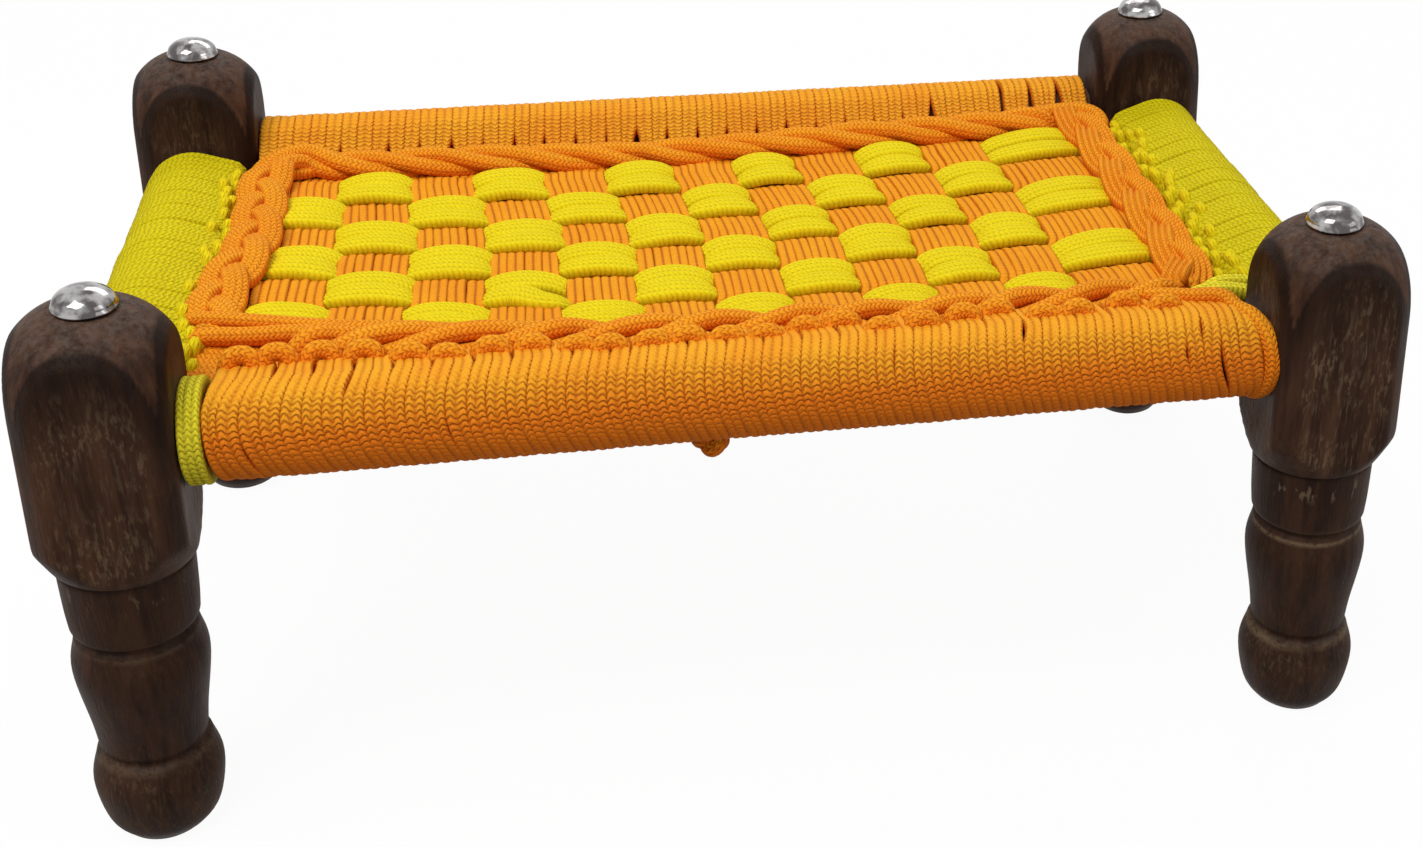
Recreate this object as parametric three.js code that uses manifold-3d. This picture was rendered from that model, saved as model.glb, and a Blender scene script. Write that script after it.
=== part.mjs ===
// A small charpai: a low frame of four turned legs and four rails, strung with knitted cord.
// Millimetres, +Z up. The origin is on the floor under the middle of the frame,
// +X runs along the length and +Y runs from the front long side to the back one.
import * as THREE from "three";
import { mergeVertices } from "three/addons/utils/BufferGeometryUtils.js";
import Module from "manifold-3d";

const wasm = await Module();
wasm.setup();

// Frame: the spacing of the leg axes where the rails enter, and the outward lean of the legs.
const legSpacingLong = 268;
const legSpacingWide = 148;
const longRailHeight = 101.6;
const endRailDrop = 2.2;
const legLean = THREE.MathUtils.degToRad(2.4);

// Fits: the play left between touching pieces, and the overrun of every cut.
const clearance = 0.3;
const cutOverrun = 2;

// Leg block: a square post whose corners, shoulders and dome are turned round.
const blockSide = 31;
const blockTurnedRadius = 19;
const blockShoulderHeight = 81;
const blockDomeStart = 111;
const blockTop = 133;
const domeFullness = 2.4;

// Leg turning below the block, from the floor up: a foot, a vase-shaped bulb and a collar.
const footBaseRadius = 9.6;
const footRadius = 14.1;
const footWidest = 14.2;
const footTopRadius = 12.4;
const footTop = 21.6;
const lowGrooveRadius = 11;
const lowGrooveHeight = 23.4;
const neckRadius = 11.7;
const neckHeight = 25;
const bulbLowRadius = 12.4;
const bulbLowHeight = 31;
const bulbRadius = 14.4;
const bulbWidest = 45.3;
const bulbTopRadius = 12.9;
const bulbTop = 53.8;
const highGrooveRadius = 12.1;
const highGrooveHeight = 55.1;
const collarLowRadius = 13.4;
const collarLow = 56.6;
const collarRadius = 14.2;
const collarTop = 72.4;

// Domed nail on each leg: a cap on a shank that is driven down the leg's axis.
const nailRadius = 6.5;
const nailRise = 4.4;
const nailRimHeight = 0.7;
const nailShankRadius = 1.2;
const nailShankLength = 11;

// Rails: plain dowels with a smaller tenon at each end.
const longRailRadius = 7.5;
const endRailRadius = 8.7;
const tenonRadius = 4.6;
const tenonLength = 9;

// Cord wound round the rails: a turn is two knitted cords lying flat beside each other.
const cordThickness = 3.4;
const turnGap = 0.6;
const longTurns = 23.5;
const endTurns = 12.5;
const accentCordWidth = 5;
const accentTurns = 0.5;
const tailLength = 9;

// Seat net: bands of cord that run front to back cross rows of cord that run along the length.
// An inset is measured inward from the line of the leg axes on that side.
const bandThickness = 3.2;
const bandGap = 0.4;
const bandEdgeShare = 0.43;
const bandFlatShare = 0.2;
const rowFlatShare = 0.22;
const lastColumnWidth = 25.9;
const columnCount = 12;
const rowCount = 6;
const netLeftInset = 22;
const netRightInset = 26.5;
const netFrontInset = 27.5;
const netBackInset = 27.5;

// How the drawn net lies: it sags, fans out to the right, and its rows bow and slant a little.
const netSag = 4.6;
const netFanShare = 0.09;
const netOffset = 0.5;
const netBow = 2.6;
const netSlant = -1.2;

// Border ropes that tie the net's edge, lying on the ends of the bands and rows.
const ropeRise = 6.4;
const ropeWidth = 9;
const ropeThickness = 6.4;
const frontRopeInset = 18.5;
const backRopeInset = 20.8;
const leftRopeInset = 17.5;
const rightRopeInset = 21.8;

// Knot of the winding's tail that hangs under the front rail.
const knotPlace = -9.4;
const knotLength = 7;
const knotWidth = 5.4;
const knotDrop = 4.6;

// Facets of the round forms.
const legSides = 18;
const nailSides = 14;
const railSides = 12;
const turnSteps = 10;
const ropeSides = 8;
const ropeSteps = 16;

// Heights and places that follow from the sizes above.
const turnChordShare = Math.cos(Math.PI / turnSteps);
const cordHalf = cordThickness / 2;
const longCordRadius = (longRailRadius + clearance) / turnChordShare + cordHalf;
const endCordRadius = (endRailRadius + clearance) / turnChordShare + cordHalf;
const halfLong = legSpacingLong / 2;
const halfWide = legSpacingWide / 2;
const endRailHeight = longRailHeight - endRailDrop;
const ropeHeight = longRailHeight + ropeRise;
const netHeight = ropeHeight - ropeThickness / 2 - clearance - bandThickness / 2;
const waveRise = (bandThickness + bandGap) / 2;
const netLeft = -halfLong + netLeftInset;
const netRight = halfLong - netRightInset;
const netFront = -halfWide + netFrontInset;
const netBack = halfWide - netBackInset;
const columnWidth = (netRight - netLeft - lastColumnWidth) / (columnCount - 1);
const frontRopePlace = -halfWide + frontRopeInset;
const backRopePlace = halfWide - backRopeInset;
const leftRopePlace = -halfLong + leftRopeInset;
const rightRopePlace = halfLong - rightRopeInset;
const bandEnd = innerFace(halfWide, longCordRadius + cordHalf, netHeight - bandThickness / 2 - longRailHeight);
const ropeEnd = longRailEnd();
const rowEnd = innerFace(halfLong, endCordRadius + cordHalf, netHeight - bandThickness / 2 - endRailHeight);

// The four legs: name, and on which side of the frame each stands.
const corners = [
  { name: "front_left", x: -1, y: -1 },
  { name: "front_right", x: 1, y: -1 },
  { name: "back_left", x: -1, y: 1 },
  { name: "back_right", x: 1, y: 1 },
];

// Where a level face meets a round rail, less the play, measured from the middle of the frame.
function innerFace(railPlace, radius, rise) {
  return railPlace - Math.sqrt(radius * radius - rise * rise) - clearance;
}

// Materials.
function stainedWood() {
  return new THREE.MeshStandardMaterial({ color: 0x4a3128, roughness: 0.55, metalness: 0 });
}

function bareWood() {
  return new THREE.MeshStandardMaterial({ color: 0xa9794a, roughness: 0.8, metalness: 0 });
}

function chrome() {
  return new THREE.MeshStandardMaterial({ color: 0xd0d2d4, roughness: 0.15, metalness: 1 });
}

function orangeCord() {
  return new THREE.MeshStandardMaterial({ color: 0xf08b22, roughness: 0.85, metalness: 0 });
}

function yellowCord() {
  return new THREE.MeshStandardMaterial({ color: 0xe6d91c, roughness: 0.85, metalness: 0 });
}

// A closed geometry as a solid that can be joined and cut.
function toSolid(geometry) {
  const bare = geometry.clone();
  bare.deleteAttribute("normal");
  bare.deleteAttribute("uv");
  const merged = mergeVertices(bare);
  return new wasm.Manifold(
    new wasm.Mesh({
      numProp: 3,
      vertProperties: merged.attributes.position.array,
      triVerts: new Uint32Array(merged.index.array),
    }),
  );
}

function toGeometry(solid) {
  const made = solid.getMesh();
  const geometry = new THREE.BufferGeometry();
  geometry.setAttribute("position", new THREE.BufferAttribute(made.vertProperties, 3));
  geometry.setIndex(new THREE.BufferAttribute(made.triVerts, 1));
  return geometry;
}

// A profile of (radius, height) points turned round the Z axis.
function turned(points, sides) {
  return new THREE.LatheGeometry(points, sides).rotateX(Math.PI / 2);
}

function cylinderAlong(axis, radius, length, sides) {
  const geometry = new THREE.CylinderGeometry(radius, radius, length, sides);
  if (axis === "x") return geometry.rotateZ(Math.PI / 2);
  if (axis === "z") return geometry.rotateX(Math.PI / 2);
  return geometry;
}

function point(radius, height) {
  return new THREE.Vector2(radius, height);
}

// Rings of points joined into one closed skin, with a flat cap at each end.
function skinned(rings) {
  const size = rings[0].length;
  const positions = rings.flat().flatMap((p) => [p.x, p.y, p.z]);
  const faces = [];
  for (let r = 0; r + 1 < rings.length; r += 1) {
    for (let k = 0; k < size; k += 1) {
      const a = r * size + k;
      const b = r * size + ((k + 1) % size);
      faces.push([a, b, b + size], [a, b + size, a + size]);
    }
  }
  const last = (rings.length - 1) * size;
  for (let k = 1; k + 1 < size; k += 1) {
    faces.push([0, k + 1, k], [last, last + k, last + k + 1]);
  }
  const geometry = new THREE.BufferGeometry();
  geometry.setAttribute("position", new THREE.Float32BufferAttribute(positions, 3));
  const outward = signedVolume(rings, faces) > 0;
  geometry.setIndex(faces.flatMap(([a, b, c]) => (outward ? [a, b, c] : [a, c, b])));
  return geometry;
}

function signedVolume(rings, faces) {
  const points = rings.flat();
  return faces.reduce(
    (sum, [a, b, c]) => sum + points[a].dot(points[b].clone().cross(points[c])) / 6,
    0,
  );
}

// Leg block: the square post cut by a turned outline with a slanted shoulder and a full dome.
function blockOutline() {
  const outline = [point(0, collarTop - cutOverrun), point(collarRadius, collarTop - cutOverrun)];
  outline.push(point(collarRadius, collarTop));
  outline.push(point(blockTurnedRadius, blockShoulderHeight));
  const seatAngle = Math.acos(((nailRadius + clearance) / blockTurnedRadius) ** (domeFullness / 2));
  const domeSteps = 6;
  for (let k = 0; k <= domeSteps; k += 1) {
    const angle = (seatAngle * k) / domeSteps;
    const radius = blockTurnedRadius * Math.cos(angle) ** (2 / domeFullness);
    const rise = (blockTop - blockDomeStart) * Math.sin(angle) ** (2 / domeFullness);
    outline.push(point(radius, blockDomeStart + rise));
  }
  outline.push(point(0, outline.at(-1).y));
  return outline;
}

// Turning below the block: foot, neck groove, bulb, upper groove and collar.
// The foot runs on below the floor, where the leaning leg is then cut level.
function turningOutline() {
  const foot = new THREE.SplineCurve([
    point(footBaseRadius, 0),
    point((footBaseRadius + footRadius * 2) / 3, footWidest / 3),
    point(footRadius, footWidest),
    point(footTopRadius, footTop),
  ]);
  const bulb = new THREE.SplineCurve([
    point(neckRadius, neckHeight),
    point(bulbLowRadius, bulbLowHeight),
    point(bulbRadius, bulbWidest),
    point(bulbTopRadius, bulbTop),
  ]);
  return [
    point(0, -cutOverrun),
    point(footBaseRadius, -cutOverrun),
    ...foot.getPoints(6),
    point(lowGrooveRadius, lowGrooveHeight),
    ...bulb.getPoints(7),
    point(highGrooveRadius, highGrooveHeight),
    point(collarLowRadius, collarLow),
    point(collarRadius, collarTop),
    point(0, collarTop),
  ];
}

function nailSeatHeight() {
  return blockOutline().at(-1).y;
}

// A leg in its own upright frame, with the hole for its nail.
function uprightLeg() {
  const post = new THREE.BoxGeometry(blockSide, blockSide, blockTop + cutOverrun);
  post.translate(0, 0, (blockTop + cutOverrun) / 2);
  const block = toSolid(post).intersect(toSolid(turned(blockOutline(), legSides)));
  const turning = toSolid(turned(turningOutline(), legSides));
  const holeDepth = nailShankLength + clearance;
  const hole = cylinderAlong("z", nailShankRadius + clearance, holeDepth + cutOverrun, nailSides);
  hole.translate(0, 0, nailSeatHeight() + (cutOverrun - holeDepth) / 2);
  return block.add(turning).subtract(toSolid(hole));
}

// The lean turns a leg about the height at which the long rails enter it.
function legPlacement(corner) {
  const place = new THREE.Matrix4().makeTranslation(corner.x * halfLong, corner.y * halfWide, longRailHeight);
  const lean = new THREE.Matrix4().makeRotationY(-corner.x * legLean);
  const pivot = new THREE.Matrix4().makeTranslation(0, 0, -longRailHeight);
  return place.multiply(lean).multiply(pivot);
}

// The blind hole in which a rail's tenon sits: it is cut level, whatever the leg's lean.
function mortise(axis, corner, height) {
  const depth = tenonLength + clearance;
  const length = depth + blockSide;
  const hole = cylinderAlong(axis, tenonRadius + clearance, length, railSides);
  const inward = blockSide / 2 - depth + length / 2;
  const x = corner.x * (halfLong - (axis === "x" ? inward : 0));
  const y = corner.y * (halfWide - (axis === "y" ? inward : 0));
  return toSolid(hole.translate(x, y, height));
}

function leg(corner) {
  const upright = toGeometry(uprightLeg());
  const leaning = toSolid(upright.applyMatrix4(legPlacement(corner)));
  const below = new THREE.BoxGeometry(blockSide * 2, blockSide * 2, blockSide);
  below.translate(corner.x * halfLong, corner.y * halfWide, -blockSide / 2);
  const trimmed = leaning.subtract(toSolid(below));
  const drilled = trimmed
    .subtract(mortise("x", corner, longRailHeight))
    .subtract(mortise("y", corner, endRailHeight));
  return new THREE.Mesh(toGeometry(drilled), stainedWood());
}

// Domed nail, drawn with its rim on its own zero height.
function nail() {
  const outline = [point(0, -nailShankLength), point(nailShankRadius, -nailShankLength)];
  outline.push(point(nailShankRadius, 0), point(nailRadius, 0));
  const domeSteps = 4;
  for (let k = 0; k < domeSteps; k += 1) {
    const angle = (Math.PI / 2) * (k / domeSteps);
    const rise = nailRimHeight + (nailRise - nailRimHeight) * Math.sin(angle);
    outline.push(point(nailRadius * Math.cos(angle), rise));
  }
  outline.push(point(0, nailRise));
  return new THREE.Mesh(turned(outline, nailSides), chrome());
}

// A group that stands where a leg stands and leans with it, so that its nail follows.
function nailOn(corner) {
  const group = new THREE.Group();
  group.applyMatrix4(legPlacement(corner));
  const mesh = nail();
  mesh.name = "nail_" + corner.name;
  mesh.position.z = nailSeatHeight() + clearance;
  group.add(mesh);
  return group;
}

// The face of a leg, at its nearest to the middle of the frame over the height of a long rail.
function longRailEnd() {
  return halfLong - blockSide / 2 / Math.cos(legLean) - longRailRadius * Math.tan(legLean) - clearance;
}

function endRailEnd() {
  return halfWide - blockSide / 2 - clearance;
}

// A rail with its two tenons, drawn along the given axis about its own middle.
function rail(axis, radius, end) {
  const body = toSolid(cylinderAlong(axis, radius, end * 2, railSides));
  const tenons = toSolid(cylinderAlong(axis, tenonRadius, (end + tenonLength) * 2, railSides));
  return new THREE.Mesh(toGeometry(body.add(tenons)), bareWood());
}

// Section of a wound turn: a flat inner keel, two rounded edges and a broad crown.
function turnSection(width) {
  return [
    point(-width / 2, 0),
    point(-width / 4, cordHalf),
    point(width / 4, cordHalf),
    point(width / 2, 0),
    point(0, -cordHalf),
  ];
}

// A ring of the winding: the section stands on the rail's axis direction and on a spoke.
function windingRing(section, centre, along, spoke) {
  return section.map((p) => centre.clone().addScaledVector(along, p.x).addScaledVector(spoke, p.y));
}

// Cord wound round a rail. It comes straight off the border rope on to the rail's top,
// goes down the outer side, and after its turns leaves straight inward under the rail.
function winding({ along, outward, middle, radius, from, to, turns, width, rope }) {
  const section = turnSection(width);
  const up = new THREE.Vector3(0, 0, 1);
  const first = from + width / 2;
  const last = to - width / 2;
  const spokeAt = (angle) =>
    up.clone().multiplyScalar(Math.cos(angle)).addScaledVector(outward, Math.sin(angle));
  const centreAt = (place, spoke) =>
    middle.clone().addScaledVector(along, place).addScaledVector(spoke, radius);

  // The lead is the straight line from the rope's axis that just touches the round of turns.
  const inward = rope.inward(first);
  const rise = rope.height(first) - middle.z;
  const reach = Math.hypot(inward, rise);
  const startAngle = Math.atan2(rise, inward) + Math.acos(radius / reach) - Math.PI / 2;
  const endAngle = 2 * Math.PI * turns;
  const lead = Math.sqrt(reach ** 2 - radius ** 2) - rope.half - clearance - cordHalf * Math.abs(Math.sin(startAngle));
  const startSpoke = spokeAt(startAngle);
  const startHeading = spokeAt(startAngle + Math.PI / 2);
  const leadEnd = centreAt(first, startSpoke).addScaledVector(startHeading, -lead);
  const rings = [windingRing(section, leadEnd, along, startSpoke)];

  const steps = Math.round(turns * turnSteps);
  for (let k = 0; k <= steps; k += 1) {
    const spoke = spokeAt(startAngle + ((endAngle - startAngle) * k) / steps);
    const place = first + ((last - first) * k) / steps;
    rings.push(windingRing(section, centreAt(place, spoke), along, spoke));
  }
  const endSpoke = spokeAt(endAngle);
  const tailEnd = centreAt(last, endSpoke).addScaledVector(spokeAt(endAngle + Math.PI / 2), tailLength);
  rings.push(windingRing(section, tailEnd, along, endSpoke));
  return rings;
}

// The least distance between a ring's points and those of rings at least half a turn on.
function leastGap(rings) {
  let least = Infinity;
  for (let i = 0; i < rings.length; i += 1) {
    for (let j = i + turnSteps / 2; j < rings.length; j += 1) {
      for (const p of rings[i]) {
        for (const q of rings[j]) least = Math.min(least, p.distanceTo(q));
      }
    }
  }
  return least;
}

// The width of a turn that lets the given turns fill a length with the set gap between them.
function turnWidth(length, turns) {
  return (length - turns * turnGap) / (turns + 1);
}

// Where a place across the net comes to lie: the rows fan, bow and slant, the rails hold the ends.
function drawnPlace(x, y) {
  const across = x / rowEnd;
  const inRows = THREE.MathUtils.clamp(y, netFront, netBack);
  const hold = Math.min(1, (bandEnd - Math.abs(y)) / (bandEnd - Math.abs(inRows)));
  const fan = netFanShare * across * inRows;
  return y + hold * (fan + netOffset + netBow * across ** 2 + netSlant * across);
}

// How far the net hangs below its edges.
function dip(x, y) {
  const share = Math.max(0, 1 - (x / rowEnd) ** 2) * Math.max(0, 1 - (y / bandEnd) ** 2);
  return netSag * share;
}

function hang(x, y, z) {
  const place = drawnPlace(x, y);
  return new THREE.Vector3(x, place, z - dip(x, place));
}

// Edges of the columns, from left to right: the last column is the wide one.
function columnEdges() {
  const edges = [netLeft];
  for (let i = 0; i < columnCount; i += 1) {
    edges.push(edges.at(-1) + (i + 1 < columnCount ? columnWidth : lastColumnWidth));
  }
  return edges;
}

function rowEdges() {
  const pitch = (netBack - netFront) / rowCount;
  return Array.from({ length: rowCount + 1 }, (_, j) => netFront + j * pitch);
}

// Over and under stations of one strip of the net: flat over or under each cell it crosses.
function weaveStations(edges, start, end, overFirst) {
  const stations = [{ place: start, rise: 0 }];
  stations.push({ place: edges[0], rise: 0 });
  for (let i = 0; i + 1 < edges.length; i += 1) {
    const cell = edges[i + 1] - edges[i];
    const rise = (i % 2 === 0) === overFirst ? waveRise : -waveRise;
    stations.push({ place: edges[i] + cell * (0.5 - rowFlatShare), rise });
    stations.push({ place: edges[i] + cell * (0.5 + rowFlatShare), rise });
  }
  stations.push({ place: edges.at(-1), rise: 0 });
  stations.push({ place: end, rise: 0 });
  return stations;
}

// Section across a strip that fills one column or row: flat in its middle, thin at its edges.
function stripSection(low, high) {
  const middle = (low + high) / 2;
  const cell = high - low;
  const half = bandThickness / 2;
  return [
    point(middle - cell * bandEdgeShare, 0),
    point(middle - cell * bandFlatShare, half),
    point(middle + cell * bandFlatShare, half),
    point(middle + cell * bandEdgeShare, 0),
    point(middle + cell * bandFlatShare, -half),
    point(middle - cell * bandFlatShare, -half),
  ];
}

// One band of the net, from the front long rail to the back one.
function band(index) {
  const edges = columnEdges();
  const section = stripSection(edges[index], edges[index + 1]);
  const stations = weaveStations(rowEdges(), -bandEnd, bandEnd, index % 2 === 1);
  const rings = stations.map(({ place, rise }) =>
    section.map((p) => hang(p.x, place, netHeight + rise + p.y)),
  );
  return new THREE.Mesh(skinned(rings), orangeCord());
}

// One row of the net, from the left end rail to the right one.
function row(index) {
  const edges = rowEdges();
  const section = stripSection(edges[index], edges[index + 1]);
  const stations = weaveStations(columnEdges(), -rowEnd, rowEnd, index % 2 === 0);
  const rings = stations.map(({ place, rise }) =>
    section.map((p) => hang(place, p.x, netHeight + rise + p.y)),
  );
  return new THREE.Mesh(skinned(rings), yellowCord());
}

// Section of a border rope: an ellipse about the level of the ropes.
function ropeSection() {
  return Array.from({ length: ropeSides }, (_, k) => {
    const angle = (2 * Math.PI * (k + 0.5)) / ropeSides;
    const reach = 1 / Math.cos(Math.PI / ropeSides);
    return point((ropeWidth / 2) * reach * Math.cos(angle), (ropeThickness / 2) * reach * Math.sin(angle));
  });
}

function ropePoint(x, y, z) {
  return new THREE.Vector3(x, y, z - dip(x, y));
}

// A border rope along X: it keeps its width where the net spreads or draws in.
function longRope(place) {
  const rings = [];
  for (let k = 0; k <= ropeSteps; k += 1) {
    const x = -ropeEnd + (2 * ropeEnd * k) / ropeSteps;
    const y = drawnPlace(x, place);
    rings.push(ropeSection().map((p) => ropePoint(x, y + p.x, ropeHeight + p.y)));
  }
  return new THREE.Mesh(skinned(rings), orangeCord());
}

// A border rope along Y at a place in X, between the two long ones.
function sideRope(place) {
  const rings = [];
  const side = Math.sign(place) * (ropeWidth / 2);
  const reach = ropeWidth / 2 + clearance;
  const from = Math.max(drawnPlace(place - side, frontRopePlace), drawnPlace(place + side, frontRopePlace)) + reach;
  const to = Math.min(drawnPlace(place - side, backRopePlace), drawnPlace(place + side, backRopePlace)) - reach;
  const steps = ropeSteps / 2;
  for (let k = 0; k <= steps; k += 1) {
    const y = from + ((to - from) * k) / steps;
    rings.push(ropeSection().map((p) => ropePoint(place + p.x, y, ropeHeight + p.y)));
  }
  return new THREE.Mesh(skinned(rings), orangeCord());
}

// Knot of the tail under the front rail, touching the winding from below.
function knot() {
  const shape = new THREE.SphereGeometry(1, 10, 6).rotateX(Math.PI / 2);
  shape.scale(knotLength / 2, knotWidth / 2, knotDrop / 2);
  return new THREE.Mesh(shape, orangeCord());
}

function named(mesh, name) {
  mesh.name = name;
  return mesh;
}

// The frame: legs with their nails, and the four rails in their mortises.
function frame() {
  const group = new THREE.Group();
  for (const corner of corners) {
    group.add(named(leg(corner), "leg_" + corner.name));
    group.add(nailOn(corner));
  }
  for (const side of [-1, 1]) {
    const long = named(rail("x", longRailRadius, longRailEnd()), side < 0 ? "rail_front" : "rail_back");
    long.position.set(0, side * halfWide, longRailHeight);
    const end = named(rail("y", endRailRadius, endRailEnd()), side < 0 ? "rail_left" : "rail_right");
    end.position.set(side * halfLong, 0, endRailHeight);
    group.add(long, end);
  }
  return group;
}

// The border rope as a long rail's cord meets it: on its outer side.
function ropeBeside(side) {
  const place = side < 0 ? frontRopePlace : backRopePlace;
  return {
    inward: (x) => halfWide - Math.abs(drawnPlace(x, place)),
    height: (x) => ropeHeight - dip(x, drawnPlace(x, place)),
    half: ropeWidth / 2,
  };
}

// The border rope as an end rail's cord meets it: on its cut end.
function ropeAhead() {
  return { inward: () => halfLong - ropeEnd, height: () => ropeHeight, half: 0 };
}

// All the wound cord. The accent is the one strand of the end cord at the front rail's left end.
function windings() {
  const alongX = new THREE.Vector3(1, 0, 0);
  const alongY = new THREE.Vector3(0, 1, 0);
  const group = new THREE.Group();
  const accentTo = -longRailEnd() + accentCordWidth;
  const pieces = [
    { name: "winding_front", side: -1, from: accentTo + turnGap, to: longRailEnd(), turns: longTurns },
    { name: "winding_back", side: 1, from: -longRailEnd(), to: longRailEnd(), turns: longTurns },
  ].map(({ name, side, from, to, turns }) => ({
    name,
    along: alongX,
    outward: new THREE.Vector3(0, side, 0),
    middle: new THREE.Vector3(0, side * halfWide, longRailHeight),
    radius: longCordRadius,
    from,
    to,
    turns,
    width: turnWidth(to - from, turns),
    rope: ropeBeside(side),
    material: orangeCord(),
  }));
  pieces.push({
    ...pieces[0],
    name: "winding_accent",
    from: -longRailEnd(),
    to: accentTo,
    turns: accentTurns,
    width: accentCordWidth,
    material: yellowCord(),
  });
  for (const side of [-1, 1]) {
    pieces.push({
      name: side < 0 ? "winding_left" : "winding_right",
      along: alongY,
      outward: new THREE.Vector3(side, 0, 0),
      middle: new THREE.Vector3(side * halfLong, 0, endRailHeight),
      radius: endCordRadius,
      from: -endRailEnd(),
      to: endRailEnd(),
      turns: endTurns,
      width: turnWidth(2 * endRailEnd(), endTurns),
      rope: ropeAhead(),
      material: yellowCord(),
    });
  }
  for (const piece of pieces) {
    const rings = winding(piece);
    if (piece.turns > 1) {
      console.log(piece.name + ": least gap to itself " + leastGap(rings).toFixed(2) + " mm");
    }
    group.add(named(new THREE.Mesh(skinned(rings), piece.material), piece.name));
  }
  return group;
}

// The net with its border ropes, and the knot under the front rail.
function net() {
  const group = new THREE.Group();
  for (let i = 0; i < columnCount; i += 1) group.add(named(band(i), "band_" + (i + 1)));
  for (let j = 0; j < rowCount; j += 1) group.add(named(row(j), "row_" + (j + 1)));
  group.add(named(longRope(frontRopePlace), "border_front"));
  group.add(named(longRope(backRopePlace), "border_back"));
  group.add(named(sideRope(leftRopePlace), "border_left"));
  group.add(named(sideRope(rightRopePlace), "border_right"));
  const tied = named(knot(), "cord_knot");
  tied.position.set(knotPlace, -halfWide, longRailHeight - longCordRadius - cordHalf - clearance - knotDrop / 2);
  group.add(tied);
  return group;
}

const charpai = new THREE.Group();
charpai.name = "charpai";
charpai.add(frame(), windings(), net());

export default charpai;
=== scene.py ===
# %% [markdown]
# # A small charpai, dressed in Blender
# The object is a low cot about 30 cm long: four turned legs of dark stained
# wood, rails wound close with knitted cord, and a seat of orange and yellow
# cord in a checker. The measured model is loaded first and stays as it is.
# Everything below is built round it, in metres, in the same place.

# %% Load the measured model
import math
import bpy
import numpy as np
from mathutils import Matrix, Vector


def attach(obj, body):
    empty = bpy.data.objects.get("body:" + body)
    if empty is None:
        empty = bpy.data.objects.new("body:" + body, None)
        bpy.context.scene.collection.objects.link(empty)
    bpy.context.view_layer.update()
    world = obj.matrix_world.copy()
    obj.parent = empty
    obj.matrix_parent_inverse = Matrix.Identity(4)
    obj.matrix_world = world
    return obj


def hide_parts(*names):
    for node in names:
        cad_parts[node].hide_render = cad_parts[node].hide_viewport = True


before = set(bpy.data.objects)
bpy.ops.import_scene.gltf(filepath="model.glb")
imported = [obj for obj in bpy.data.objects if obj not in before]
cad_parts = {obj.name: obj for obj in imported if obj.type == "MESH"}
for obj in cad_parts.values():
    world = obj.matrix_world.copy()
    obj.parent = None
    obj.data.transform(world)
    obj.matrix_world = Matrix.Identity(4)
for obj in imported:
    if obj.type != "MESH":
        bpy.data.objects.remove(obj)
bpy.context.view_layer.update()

# %% [markdown]
# ## Sizes shared by all the pieces
# The sizes are written in millimetres, as a maker would note them, and one
# factor turns them into Blender's metres. The rails are level; the legs lean
# out a little along the length. All unevenness is drawn from one source of
# chance with a fixed start, so every build comes out alike.

# %% Shared sizes in millimetres
MM = 0.001
HALF_LONG, HALF_WIDE = 134.0, 74.0
LONG_RAIL_HEIGHT, END_RAIL_HEIGHT = 101.6, 99.4
LONG_RAIL_RADIUS, END_RAIL_RADIUS = 7.5, 8.7
LEG_LEAN = math.radians(2.4)
CORD_HALF_THICK, CORD_MIDDLE = 1.75, 1.9
ROPE_HEIGHT, NET_HEIGHT = 108.0, 102.9
ROW_END, BAND_END = 121.8, 62.65
NET_FRONT, NET_BACK = -46.5, 46.5
chance = np.random.RandomState(7)
print("length over the leg axes:", 2 * HALF_LONG, "mm")

# %% [markdown]
# ## The camera
# The view is a product view from a little above and to the left. The lens and
# the small shift are those that make straight rails and level feet fall where
# they do in the picture that the model was measured from.

# %% Camera
camera_data = bpy.data.cameras.new("camera")
camera_data.sensor_width = 36.0
camera_data.lens = 46.938
camera_data.shift_x, camera_data.shift_y = -0.136, -0.0685
camera_data.clip_start, camera_data.clip_end = 0.01, 20.0
camera = bpy.data.objects.new("camera", camera_data)
bpy.context.scene.collection.objects.link(camera)
camera.location = (-0.035518, -0.427129, 0.306902)
camera.rotation_euler = [math.radians(a) for a in (61.8079, -0.9979, -10.7016)]
bpy.context.scene.camera = camera
bpy.context.scene.view_settings.view_transform = "Standard"
print("camera at", tuple(round(c, 3) for c in camera.location))

# %% [markdown]
# ## Small helpers for materials
# A material is a tree of nodes. `fill` sets or links the inputs of a node, and
# `put` adds a node and fills it in one line. A few more helpers stand for the
# nodes that come back again and again, so that each material below reads as a
# short list.

# %% Node helpers
def fill(tree, node, inputs):
    for name, value in inputs.items():
        if isinstance(value, bpy.types.NodeSocket):
            tree.links.new(value, node.inputs[name])
        else:
            node.inputs[name].default_value = value


def put(tree, kind, inputs=None, **settings):
    made = tree.nodes.new(kind)
    for name, value in settings.items():
        setattr(made, name, value)
    fill(tree, made, inputs or {})
    return made


def math_node(tree, operation, *values):
    return put(tree, "ShaderNodeMath", dict(enumerate(values)), operation=operation).outputs[0]


def times(tree, a, b):
    return math_node(tree, "MULTIPLY", a, b)


def scale_add(tree, value, scale, extra):
    return math_node(tree, "MULTIPLY_ADD", value, scale, extra)


def rest_of(tree, value):
    return math_node(tree, "SUBTRACT", 1.0, value)


def noise(tree, place, scale, detail, roughness=0.5):
    inputs = {"Vector": place, "Scale": scale, "Detail": detail, "Roughness": roughness}
    return put(tree, "ShaderNodeTexNoise", inputs).outputs["Fac"]


def object_place(tree):
    return put(tree, "ShaderNodeTexCoord").outputs["Object"]


def facing_up(tree):
    normal = put(tree, "ShaderNodeNewGeometry").outputs["Normal"]
    return put(tree, "ShaderNodeSeparateXYZ", {0: normal}).outputs["Z"]


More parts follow.
